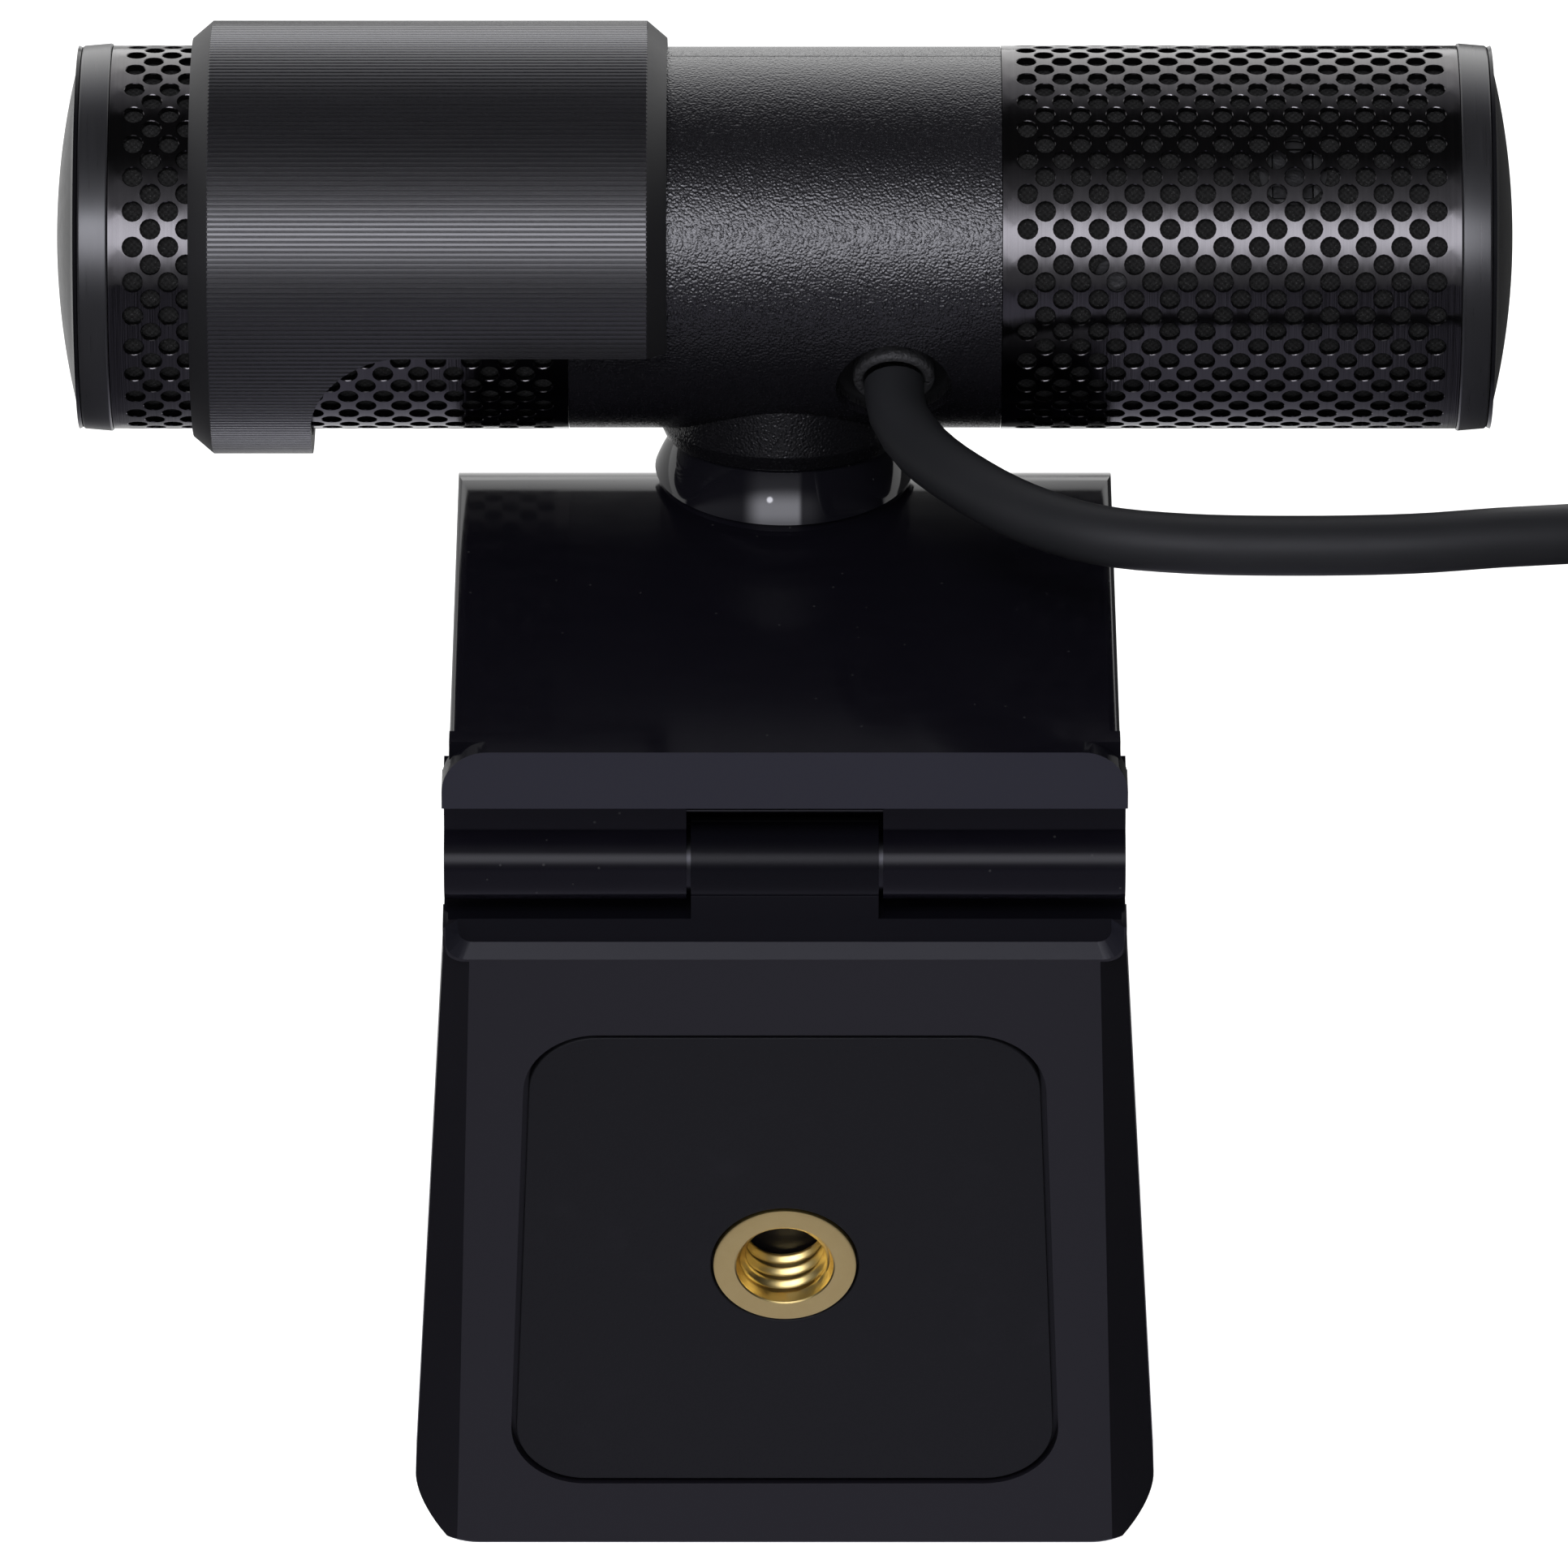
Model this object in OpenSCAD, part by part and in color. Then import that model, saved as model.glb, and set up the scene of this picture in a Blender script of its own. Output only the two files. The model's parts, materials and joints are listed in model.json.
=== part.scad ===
// Tube-shaped webcam with a privacy sleeve, on a fold-out monitor clip with a tripod thread.
// Millimetres. +X runs along the camera tube, +Y is where the lens looks, +Z is up.
// The origin is the centre of the rest pad's underside, which lies on a monitor's top edge.

/* [Camera tube] */
// Outer radius of the camera tube
tube_r = 12.9; // [10.5:0.1:15.6]
// Length of the tube between the end caps
tube_len = 94.4; // [78:0.2:114]
// Length of the plain middle shell
shell_len = 29; // [26:0.2:34]
// Wall of the middle shell
shell_wall = 1.3; // [1:0.1:1.6]
// Sheet thickness of the perforated grilles
grille_t = 0.4; // [0.3:0.1:0.6]
// Thickness of the cloth behind the grilles
cloth_t = 0.35; // [0.2:0.05:0.5]
// Wall of the inner chassis
chassis_wall = 1.3; // [1:0.1:1.8]
// Width of the satin trim ring at each end
trim_w = 2; // [1:0.1:2.6]
// How far the trim rings and end caps stand over the tube
trim_proud = 0.15; // [0.05:0.05:0.3]
// Height of each end cap's dome
cap_rise = 1.8; // [1:0.1:2.5]
// Nose-down pitch of the camera at rest, in degrees
head_pitch = 8; // [0:1:14]

/* [Lens] */
// Radius of the window in front of the lens
window_r = 6.4; // [5.4:0.1:7.7]
// Radius of the lens barrel
barrel_r = 4.6; // [3.9:0.1:5]
// Radius of the front lens
lens_r = 3.5; // [2.8:0.1:3.7]

/* [Privacy sleeve] */
// Length of the sleeve
sleeve_len = 31.9; // [29:0.1:34]
// Wall of the sleeve
sleeve_wall = 1.25; // [1:0.05:1.6]
// Length of the closed ring at the sleeve's outer end
sleeve_ring = 8; // [6:0.1:10]
// Thickness of the felt strips under the sleeve
felt_t = 0.35; // [0.25:0.05:0.5]
// Distance from the middle of the camera to the sleeve at rest
sleeve_rest = 7.9; // [7.6:0.1:9]
// Height over the slot's edge, measured down from the tube's axis
slot_drop = 3.8; // [3:0.1:5]
// Corner radius of the slot
slot_corner_r = 6.3; // [4:0.1:7]

/* [Ball joint] */
// Radius of the ball dome
ball_r = 9.4; // [8.8:0.1:11]
// Wall of the ball dome
ball_wall = 1.2; // [1:0.1:1.5]
// Outer radius of the neck
neck_r = 8; // [7.4:0.1:8.4]
// Gap between the neck's rim and the tube
neck_show = 1; // [0.8:0.1:4]
// Thickness of the friction liner
liner_t = 0.26; // [0.2:0.02:0.4]
// Depth of the ball's centre under the top plate's surface
ball_sink = 2.8; // [1.8:0.1:3.2]

/* [Clip] */
// Width of the top bracket at its rear flange
clip_w = 45.2; // [40:0.1:54]
// Thickness of the top plate
plate_t = 2.6; // [2.4:0.1:3.1]
// Distance from the ball's axis back to the bracket's rear face
plate_back = 39.7; // [36:0.1:46]
// Outer radius of the bend at the front of the plate
bend_r = 12; // [10.4:0.1:14.4]
// Distance from the ball's axis back to the start of the bend
bend_back = 2.9; // [1:0.1:3.5]
// Thickness of the rubber rest pad
rest_pad_t = 1.2; // [1:0.1:1.6]
// How far the rest pad stands out of the plate
rest_pad_proud = 0.6; // [0.4:0.1:1]

/* [Hinge] */
// Outer radius of the hinge knuckles
knuckle_r = 2.7; // [2.4:0.1:3.2]
// Half width of the leg's middle knuckle
mid_knuckle = 6.2; // [5:0.1:8]
// Radius of the hinge pin
pin_r = 1; // [0.8:0.05:1.2]
// Radial clearance of the leg on the hinge pin
pin_clear = 0.05; // [0.02:0.01:0.1]
// Thickness of the friction washers between the knuckles
washer_t = 0.3; // [0.2:0.05:0.5]

/* [Leg] */
// Length of the leg from the hinge axis
leg_len = 58.8; // [52:0.1:63]
// Width of the leg below the hinge
leg_top_w = 45.3; // [40:0.1:50]
// Width of the leg at its foot
leg_foot_w = 50.7; // [44:0.1:56]
// Thickness of the leg
leg_t = 6; // [5.6:0.1:7.2]
// Wall of the leg's moulding
leg_wall = 1.5; // [1.2:0.1:1.8]
// Forward lean of the leg at rest, in degrees
leg_lean = 11; // [0:1:20]
// Tallness of the rubber pad on the leg's rear face
pad_h = 39.95; // [33:0.05:42]
// Width of that pad at its top
pad_top_w = 34.5; // [30:0.1:38]
// Width of that pad at its foot
pad_foot_w = 37.4; // [32:0.1:41]
// Corner radius of that pad
pad_corner_r = 5; // [3:0.5:8]
// Thickness of that pad
pad_t = 1; // [0.7:0.1:1.2]

/* [Tripod thread] */
// Bore radius of the 1/4-20 thread
thread_r = 2.6; // [2.5:0.05:2.7]
// Outer radius of the brass insert's body
insert_r = 4.1; // [3.8:0.1:4.5]
// Radius of the brass insert's flange
insert_flange_r = 4.85; // [4.6:0.05:5.4]

/* [Cable] */
// Diameter of the cable
cable_d = 4; // [3.4:0.1:4.4]

/* [Hidden] */
$fn = 72;

// small shared clearances
eps = 0.01;
fit = 0.02;
ball_fit = 0.05;
slide = 0.08;
seat_gap = 0.05;

// heights and places on the clip
plate_top = rest_pad_proud + plate_t;
rest_pad_w = 36;
ball_y = 17;
ball_z = plate_top - ball_sink;
rear_y = ball_y - plate_back;
bend_y = ball_y - bend_back;
bend_z = plate_top - bend_r;
lip_y = bend_y + bend_r;
plate_w = clip_w - 1;
edge_r = 0.8;
flange_corner_r = 3;
flange_drop = 4.2;
flange_t = 3;
pedestal_r = ball_r - 0.9;
dome_screw_out = pedestal_r - 2.2;
rest_pad_len = min(16.4, 2 * (ball_y - dome_screw_out - 1.6));
rim_rise = 0.5;

// hinge
hinge_y = rear_y + knuckle_r + 0.2;
hinge_z = plate_top - 9.5;
side_margin = 0.1;
knuckle_gap = 0.7;

// neck and tube axis, measured from the ball's centre
cup_r = ball_r + liner_t + 2 * ball_fit;
rim_h = sqrt(cup_r * cup_r - neck_r * neck_r);
axis_rise = rim_h + neck_show + tube_r;
stem_r = neck_r - 0.65;

// layers of the tube, from outside in
grille_in = tube_r - grille_t;
cloth_out = grille_in - seat_gap;
cloth_in = cloth_out - cloth_t;
chassis_r = cloth_in - seat_gap;
chassis_in = chassis_r - chassis_wall - 0.4;
shell_in = tube_r - shell_wall;
waist_r = shell_in - seat_gap;
half_len = tube_len / 2;
half_shell = shell_len / 2;
grille_end = half_len - trim_w;
rim_r = tube_r + trim_proud;
cap_sphere_r = (rim_r * rim_r + cap_rise * cap_rise) / (2 * cap_rise);
cap_wall = 1.6;
spigot_r = chassis_in - seat_gap;

// lens stack, measured forward from the tube's axis
window_t = 0.8;
window_front = sqrt(tube_r * tube_r - window_r * window_r) - 0.2;
bezel_back = window_front - window_t - 1;
boss_back = bezel_back - 1.7;
lens_flange_r = window_r + 0.2;
lens_flange_t = 1.1;
board_t = 1;
sensor_y = -0.2;
main_y = -4.2;
sensor_size = 2 * barrel_r + 5;
board_half = sqrt(pow(chassis_in - 0.3, 2) - pow(main_y - board_t, 2));
board_len = tube_len - 14;

// cable exit, as an angle below the tube's rear and a place along the tube
exit_angle = 33.4;
exit_x = 7.3;
recess_r = 3.9;
recess_floor = tube_r - 1.9;
grommet_r = 2.75;

// microphones behind the rear of the right grille: [place along the tube, angle above its rear]
mic_places = [[33.9, 39.5], [21.9, 7.3]];
mic_size = [2.6, 3.4, 0.9];
mic_floor = cloth_in - mic_size[2] - 0.25;

// sleeve
felt_in = tube_r + slide;
sleeve_in = felt_in + felt_t;
sleeve_out = sleeve_in + sleeve_wall;
sleeve_end = sleeve_rest + sleeve_len;
sleeve_chamfer = sleeve_wall * 1.08;
felt_w = 5;

// clamp inside the ball, measured up from the ball's centre
inner_ball_r = ball_r - ball_wall;
opening_r = ball_r / 2;
clamp_head_z = 1.7;
clamp_head_r = 2.75;
clamp_head_t = 1.3;
clamp_shank_r = 1.25;
clamp_washer_z = 5;
clamp_washer_r = 5.5;
spring_t = 0.4;
spring_count = 2;
spring_rise = (clamp_washer_z - clamp_head_z - clamp_head_t) / spring_count;
stem_top = cup_r + 1.1;
boss_top = stem_top + 1.2;
sensor_low = min(sensor_size / 2, axis_rise - boss_top - 0.3);

// leg, in its own frame: x across, y forward, z up, from the hinge axis
leg_back = -knuckle_r - 0.3;
leg_front = leg_back + leg_t;
leg_start = knuckle_r + knuckle_gap;
taper_start = 6.5;
leg_corner_r = 4.3;
bevel_foot = 0.7;
face_top_w = 41.8;
pad_start = 12.85;
pad_gap = 0.35;
cover_t = 1.2;
cover_inset = 1;
insert_s = pad_start + 0.509 * pad_h;
insert_t = leg_t - cover_t - 0.3;
hinge_bay = 0.8;
hinge_bay_end = 6.2;
hinge_bay_corner_r = 3.3;
web_front = 4.4;
web_low = 0.2;
grip_t = 0.8;

// a point on the cable exit's axis, so far from the tube's axis
function exit_point(x, out) =
  let (y = -out * cos(exit_angle), z = axis_rise - out * sin(exit_angle))
  [x, ball_y + y * cos(head_pitch) + z * sin(head_pitch),
   ball_z - y * sin(head_pitch) + z * cos(head_pitch)];

// cable: two points tied to the grommet, then hand-chosen ones to the top of the coil
lead_points = concat(
  [exit_point(exit_x, recess_floor + 1.35), exit_point(exit_x + 0.3, tube_r + 2.1)], [
  [9.2, 2.6, 12.5], [12, -1.8, 12.4], [15.8, -6.2, 12.4], [20.6, -9.4, 12.4],
  [26.6, -10.7, 12.4], [34, -11, 12.4], [41.5, -10.7, 12.4], [48.6, -9.5, 12.3],
  [55, -8, 11.6], [60.8, -6.6, 9.1], [65.2, -5.6, 4.6], [68.2, -5.1, -1],
  [70.4, -5, -6.8], [72.1, -5, -12.6]
]);
coil_at = [68, -5, -42.3];
coil_r = 23.5;
bundle_w = 12.4;
bundle_corner_r = 3;
tie_t = 0.9;
tie_w = 9;
tie_turn = 24;
tail_x = coil_at[0] - 4.1;
tail_y = coil_at[1] - coil_r - 4.1;
tail_top = -57.8;
plug_top = -62.8;
overmould_len = 21;
usb_w = 12;
usb_h = 4.5;
usb_len = 12;
usb_wall = 0.35;

// ---- shared shapes ----

// a straight tube about the X axis
module tube_x(r_out, r_in, x0, x1) {
  translate([x0, 0, 0]) rotate([0, 90, 0]) difference() {
    cylinder(r = r_out, h = x1 - x0);
    translate([0, 0, -1]) cylinder(r = r_in, h = x1 - x0 + 2);
  }
}

// a solid cylinder about the X axis
module rod_x(r, x0, x1) {
  translate([x0, 0, 0]) rotate([0, 90, 0]) cylinder(r = r, h = x1 - x0);
}

// a solid cylinder about the Y axis, from y0 forward to y1
module rod_y(r, y0, y1) {
  translate([0, y0, 0]) rotate([-90, 0, 0]) cylinder(r = r, h = y1 - y0);
}

// a solid cylinder about the Z axis
module rod_z(r, z0, z1) {
  translate([0, 0, z0]) cylinder(r = r, h = z1 - z0);
}

// a YZ outline drawn as (y, z) and extruded evenly to both sides in X
module across(w) {
  translate([-w / 2, 0, 0]) rotate([90, 0, 90]) linear_extrude(w) children();
}

// an XZ outline drawn as (x, z) and extruded from y0 to y1
module facing(y0, y1) {
  translate([0, y1, 0]) rotate([90, 0, 0]) linear_extrude(y1 - y0) children();
}

module rounded_rect(w, h, r) {
  square([w - 2 * r, h], center = true);
  square([w, h - 2 * r], center = true);
  for (x = [-1, 1], y = [-1, 1])
    translate([x * (w / 2 - r), y * (h / 2 - r)]) circle(r = r);
}

// a downward trapezoid from z = -s0 to z = -s1, with rounded corners at its foot and, with
// top_r over 0, at its top
module trapezoid(w0, w1, s0, s1, foot_r, top_r) {
  slope = (w1 - w0) / 2 / (s1 - s0);
  c = 1 / sqrt(1 + slope * slope);
  foot_x = w0 / 2 + slope * (s1 - foot_r - s0) - foot_r / c;
  top_x = w0 / 2 + slope * top_r - top_r / c;
  turn = atan(slope);
  foot_side = [foot_x + foot_r * cos(turn), -(s1 - foot_r) + foot_r * sin(turn)];
  top_side = [top_x + top_r * cos(turn), -(s0 + top_r) + top_r * sin(turn)];
  right = [[foot_x, -s1], foot_side, top_side, [top_x, -s0]];
  polygon(concat(right, [for (i = [3:-1:0]) [-right[i][0], right[i][1]]]));
  for (side = [-1, 1]) {
    translate([side * foot_x, -(s1 - foot_r)]) circle(r = foot_r);
    if (top_r > 0) translate([side * top_x, -(s0 + top_r)]) circle(r = top_r);
  }
}

// places its children in the camera's frame, whose origin is on the tube's axis
module in_head() {
  translate([0, ball_y, ball_z]) rotate([-head_pitch, 0, 0])
    translate([0, 0, axis_rise]) children();
}

// places its children on the neck's axis, from the ball's centre
module on_neck() {
  translate([0, ball_y, ball_z]) rotate([-head_pitch, 0, 0]) children();
}

// places its children at the ball's centre, upright
module at_ball() {
  translate([0, ball_y, ball_z]) children();
}

// places its children in the leg's frame, whose origin is on the hinge axis
module in_leg() {
  translate([0, hinge_y, hinge_z]) rotate([leg_lean, 0, 0]) children();
}

// turns +Z to the direction of the cable's exit, in the camera's frame
module at_exit() {
  translate([exit_x, 0, 0]) rotate([90 + exit_angle, 0, 0]) children();
}

// turns +Z to a direction above the tube's rear
module at_rear(x, angle) {
  translate([x, 0, 0]) rotate([90 - angle, 0, 0]) children();
}

// ---- clip: top bracket ----

// the bracket's side outline from the plate through the bend to the lip
module bracket_profile() {
  translate([rear_y + flange_t / 2, rest_pad_proud])
    square([bend_y - rear_y - flange_t / 2, plate_t]);
  intersection() {
    difference() {
      translate([bend_y, bend_z]) circle(r = bend_r);
      translate([bend_y, bend_z]) circle(r = bend_r - plate_t);
    }
    translate([bend_y, bend_z]) square([bend_r + 1, bend_r + 1]);
  }
}

// everything under the plate, cut from what stands on it
module under_plate() {
  translate([-clip_w, rear_y - 1, bend_z - 20])
    cube([2 * clip_w, bend_y - rear_y + 1, rest_pad_proud - bend_z + 20]);
  translate([0, bend_y, bend_z]) rod_x(bend_r - plate_t, -clip_w, clip_w);
  translate([-clip_w, bend_y - eps, bend_z - 20])
    cube([2 * clip_w, bend_r - plate_t + eps, 20]);
}

// the rear flange, with rounded upper corners
module rear_flange() {
  facing(rear_y, rear_y + flange_t) intersection() {
    translate([0, plate_top - 10]) rounded_rect(clip_w, 20, flange_corner_r);
    translate([-clip_w, plate_top - flange_drop]) square([2 * clip_w, flange_drop + 1]);
  }
}

module outer_knuckles() {
  inner = mid_knuckle + washer_t;
  outer = clip_w / 2 - side_margin;
  arm_back = -0.8;
  arm_front = 2;
  for (side = [0, 1]) mirror([side, 0, 0]) {
    translate([0, hinge_y, hinge_z]) rod_x(knuckle_r, inner, outer);
    translate([inner, hinge_y + arm_back, hinge_z])
      cube([outer - inner, arm_front - arm_back, plate_top - plate_t / 2 - hinge_z]);
  }
  // web in front of the leg's knuckle
  translate([-inner - 1, hinge_y + arm_front - 0.5, hinge_z - web_low])
    cube([2 * inner + 2, web_front - arm_front + 0.5, plate_top - plate_t / 2 - hinge_z + web_low]);
}

module top_bracket() {
  color([0.06, 0.06, 0.07]) difference() {
    union() {
      across(plate_w) bracket_profile();
      rear_flange();
      outer_knuckles();
      difference() {
        at_ball() rod_z(pedestal_r, -ball_r - 2, ball_sink + rim_rise);
        under_plate();
      }
    }
    // rounded top edges along both sides
    for (side = [0, 1]) mirror([side, 0, 0])
      translate([plate_w / 2 - edge_r, 0, plate_top - edge_r]) difference() {
        translate([0, rear_y + flange_t, 0]) cube([edge_r + 1, lip_y - rear_y, edge_r + 1]);
        rod_y(edge_r, rear_y - 2, lip_y + 2);
      }
    // pocket for the dome's spigot, and its screw holes
    at_ball() rod_z(pedestal_r - 1.1, ball_sink - 1.4, ball_sink + 2);
    // well that the clamp's head swings in
    at_ball() rod_z(clamp_head_r + 0.75, clamp_head_z - 1, ball_sink + 2);
    dome_screw_places() {
      rod_z(0.7, -plate_t, 1);
      rod_z(1.35, -plate_t - 2, -0.65);
    }
    // recess for the rest pad
    translate([0, 0, rest_pad_proud - 1]) linear_extrude(1 + rest_pad_t - rest_pad_proud)
      rounded_rect(rest_pad_w, rest_pad_len, 2);
    // bore for the hinge pin
    translate([0, hinge_y, hinge_z]) rod_x(pin_r, -clip_w / 2 + 1, clip_w / 2 - 1);
    // running room for the leg's knuckle
    translate([0, hinge_y, hinge_z])
      rod_x(knuckle_r + knuckle_gap, -mid_knuckle - washer_t, mid_knuckle + washer_t);
  }
}

// rubber wedge with a flat face toward the monitor, behind the curved lip
module lip_pad() {
  face = lip_y - plate_t - 1.9;
  top = bend_z + sqrt(pow(bend_r - plate_t - seat_gap, 2) - pow(face - bend_y, 2));
  color([0.12, 0.12, 0.13]) across(rest_pad_w) intersection() {
    translate([face, bend_z + 0.4]) square([4, top - bend_z - 0.7]);
    translate([bend_y, bend_z]) circle(r = bend_r - plate_t - seat_gap);
  }
}

module rest_pad() {
  color([0.12, 0.12, 0.13]) linear_extrude(rest_pad_t)
    rounded_rect(rest_pad_w - 0.1, rest_pad_len - 0.1, 2);
}

module hinge_pin() {
  color("silver") translate([0, hinge_y, hinge_z])
    rod_x(pin_r, -clip_w / 2 + 1.2, clip_w / 2 - 1.2);
}

module hinge_washers() {
  color("silver") translate([0, hinge_y, hinge_z]) for (side = [0, 1]) mirror([side, 0, 0])
    tube_x(knuckle_r - 0.5, pin_r, mid_knuckle, mid_knuckle + washer_t);
}

// three places under the dome's spigot, clear of the curved front
module dome_screw_places() {
  at_ball() for (turn = [180, 270, 360]) rotate([0, 0, turn])
    translate([dome_screw_out, 0, ball_sink - 1.4]) children();
}

module ball_dome() {
  flange_top = ball_sink + rim_rise + 0.4;
  color([0.05, 0.05, 0.06]) difference() {
    at_ball() difference() {
      union() {
        intersection() {
          sphere(r = ball_r, $fn = 120);
          rod_z(ball_r + 1, ball_sink + rim_rise, ball_r + 1);
        }
        rod_z(pedestal_r - 1.1, ball_sink - 1.4, ball_sink + rim_rise + eps);
      }
      intersection() {
        sphere(r = inner_ball_r, $fn = 120);
        rod_z(ball_r + 1, flange_top, ball_r + 1);
      }
      rod_z(pedestal_r - 3.3, -ball_r, flange_top + 1);
      // room for the clamp's washer, down to the flange that takes the screws
      rod_z(pedestal_r - 1.6, ball_sink + 0.1, flange_top + 0.6);
      rod_z(opening_r, 0, ball_r + 1);
    }
    dome_screw_places() rod_z(0.65, -1, 1.4);
  }
}

module dome_screws() {
  color("silver") dome_screw_places() {
    rod_z(0.65, -0.65, 1.3);
    rod_z(1.25, -1.15, -0.65);
  }
}

// ---- clip: fold-out leg ----

// the leg's rear outline as (x, z)
module leg_outline(inset) {
  trapezoid(leg_top_w - 2 * inset, leg_foot_w - 2 * inset, taper_start, leg_len - inset,
            leg_corner_r - min(inset, 1), 0);
}

// side bevels: planes at 45 degrees that leave the narrower flat rear face
module leg_bevels() {
  face_foot_w = face_top_w + (leg_foot_w - leg_top_w) * 0.52;
  turn = atan((face_foot_w - face_top_w) / 2 / (leg_len - bevel_foot - taper_start));
  for (side = [0, 1]) mirror([side, 0, 0])
    translate([face_top_w / 2, leg_back, -taper_start]) rotate([0, -turn, 0]) rotate([0, 0, 45])
      translate([0, -20, -leg_len]) cube([20, 20, 2 * leg_len]);
  translate([0, leg_back, -(leg_len - bevel_foot)]) rotate([45, 0, 0])
    translate([-leg_foot_w, -20, -20]) cube([2 * leg_foot_w, 20, 20]);
}

module leg_shell() {
  color([0.13, 0.13, 0.15]) in_leg() difference() {
    union() {
      difference() {
        facing(leg_back, leg_front) union() {
          leg_outline(0);
          translate([-leg_top_w / 2 + 0.1, -taper_start - 1])
            square([leg_top_w - 0.2, taper_start + 1 - leg_start]);
        }
        leg_bevels();
        // tray behind the inner cover
        facing(leg_back + leg_wall + pad_t, leg_front + 1) difference() {
          leg_outline(2.4);
          translate([-leg_foot_w, -taper_start - 2]) square([2 * leg_foot_w, 20]);
        }
        // step for the inner cover
        facing(leg_front - cover_t, leg_front + 1) leg_cover_outline(0);
        // recess for the rubber pad
        facing(leg_back - 1, leg_back + pad_t) leg_pad_outline(0);
        hinge_bay();
      }
      // the bay's floor, out to both sides over the bevels
      facing(leg_back + hinge_bay, leg_back + 2.5) intersection() {
        bay_outline(leg_top_w - 0.2, hinge_bay_end - hinge_bay);
        translate([-leg_top_w, -leg_start - 10]) square([2 * leg_top_w, 10]);
      }
      // boss round the thread insert, and four screw posts
      translate([0, 0, -insert_s])
        rod_y(insert_r + 2, leg_back + pad_t, leg_front - cover_t);
      for (p = leg_screw_points()) translate([p[0], 0, p[1]])
        rod_y(2, leg_back + leg_wall, leg_front - cover_t);
      // middle knuckle and its arm
      rod_x(knuckle_r, -mid_knuckle, mid_knuckle);
      translate([-mid_knuckle, leg_back + hinge_bay, -leg_start - 1])
        cube([2 * mid_knuckle, knuckle_r - leg_back - hinge_bay, leg_start + 1]);
    }
    // notch that clears the bracket's web when the leg folds
    translate([-mid_knuckle - washer_t - 1.6, 1.2, -leg_start - 2.4])
      cube([2 * (mid_knuckle + washer_t + 1.6), leg_t, leg_start + 2.4]);
    rod_x(pin_r + pin_clear, -leg_top_w, leg_top_w);
    translate([0, 0, -insert_s]) {
      rod_y(insert_r, leg_back - 1, leg_back + insert_t);
      rod_y(insert_flange_r, leg_back - 1, leg_back + 0.8);
    }
    for (p = leg_screw_points()) translate([p[0], 0, p[1]])
      rod_y(0.75, leg_back + leg_wall + 0.6, leg_front);
    // running room for the bracket's knuckles
    for (side = [0, 1]) mirror([side, 0, 0])
      rod_x(leg_start, mid_knuckle + eps, leg_top_w);
  }
}

// an outline under the hinge with rounded lower corners, down to a distance from the hinge
module bay_outline(w, end) {
  translate([0, -end + 10]) rounded_rect(w, 20, hinge_bay_corner_r);
}

// cut for the shallow bay behind the knuckles, with a sloped lower wall
module hinge_bay() {
  intersection() {
    across(leg_top_w + 2) polygon([
      [leg_back - 1, 0], [leg_back + hinge_bay, 0],
      [leg_back + hinge_bay, -hinge_bay_end + hinge_bay], [leg_back - 1, -hinge_bay_end - 1]
    ]);
    facing(leg_back - 2, leg_back + 2) bay_outline(leg_top_w - 0.9, hinge_bay_end);
  }
}

// screw posts in the leg's four corners, as (x, z)
function leg_screw_points() = [
  for (side = [-1, 1], low = [0, 1])
    [side * (leg_top_w / 2 - 4.6 + low * 1.8), low ? -(leg_len - 5.4) : -(taper_start + 4.4)]
];

module leg_cover_outline(gap) {
  trapezoid(leg_top_w - 2 * (cover_inset + gap), leg_foot_w - 2 * (cover_inset + gap),
            taper_start + cover_inset + gap, leg_len - cover_inset - gap,
            leg_corner_r - cover_inset, 1.5);
}

module leg_inner_cover() {
  color([0.1, 0.1, 0.11]) in_leg() difference() {
    facing(leg_front - cover_t, leg_front) leg_cover_outline(seat_gap);
    for (p = leg_screw_points()) translate([p[0], 0, p[1]]) {
      rod_y(0.75, leg_front - cover_t - 1, leg_front + 1);
      rod_y(1.5, leg_front - 0.6, leg_front + 1);
    }
  }
}

module leg_grip_pad() {
  color([0.12, 0.12, 0.13]) in_leg() facing(leg_front, leg_front + grip_t)
    translate([0, -(leg_len - 17.5)]) rounded_rect(leg_foot_w - 17, 20, 3);
}

module leg_pad_outline(gap) {
  trapezoid(pad_top_w - 2 * gap, pad_foot_w - 2 * gap, pad_start + gap, pad_start + pad_h - gap,
            pad_corner_r - gap, pad_corner_r - gap);
}

module tripod_pad() {
  color([0.1, 0.1, 0.12]) in_leg() difference() {
    facing(leg_back + 0.1, leg_back + pad_t) leg_pad_outline(pad_gap);
    translate([0, 0, -insert_s]) rod_y(insert_flange_r + 0.12, leg_back - 1, leg_back + 3);
  }
}

// 1/4-20 insert with a flange, a countersunk mouth and a grooved body
module thread_insert() {
  flange_t = 0.8;
  sink = 0.6;
  color([0.76, 0.6, 0.33]) in_leg() translate([0, leg_back, -insert_s])
    rotate([-90, 0, 0]) rotate_extrude() polygon([
      [thread_r, sink], [thread_r + sink, 0], [insert_flange_r - 0.2, 0],
      [insert_flange_r, 0.2], [insert_flange_r, flange_t], [insert_r, flange_t],
      [insert_r, 1.9], [insert_r - 0.4, 2.1], [insert_r - 0.4, 2.5], [insert_r, 2.7],
      [insert_r, insert_t], [thread_r, insert_t]
    ]);
}

module leg_screws() {
  color("silver") in_leg() for (p = leg_screw_points()) translate([p[0], 0, p[1]]) {
    rod_y(0.75, leg_back + leg_wall + 0.9, leg_front - 0.6);
    rod_y(1.4, leg_front - 0.6, leg_front - 0.05);
  }
}

// ---- ball joint ----

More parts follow.
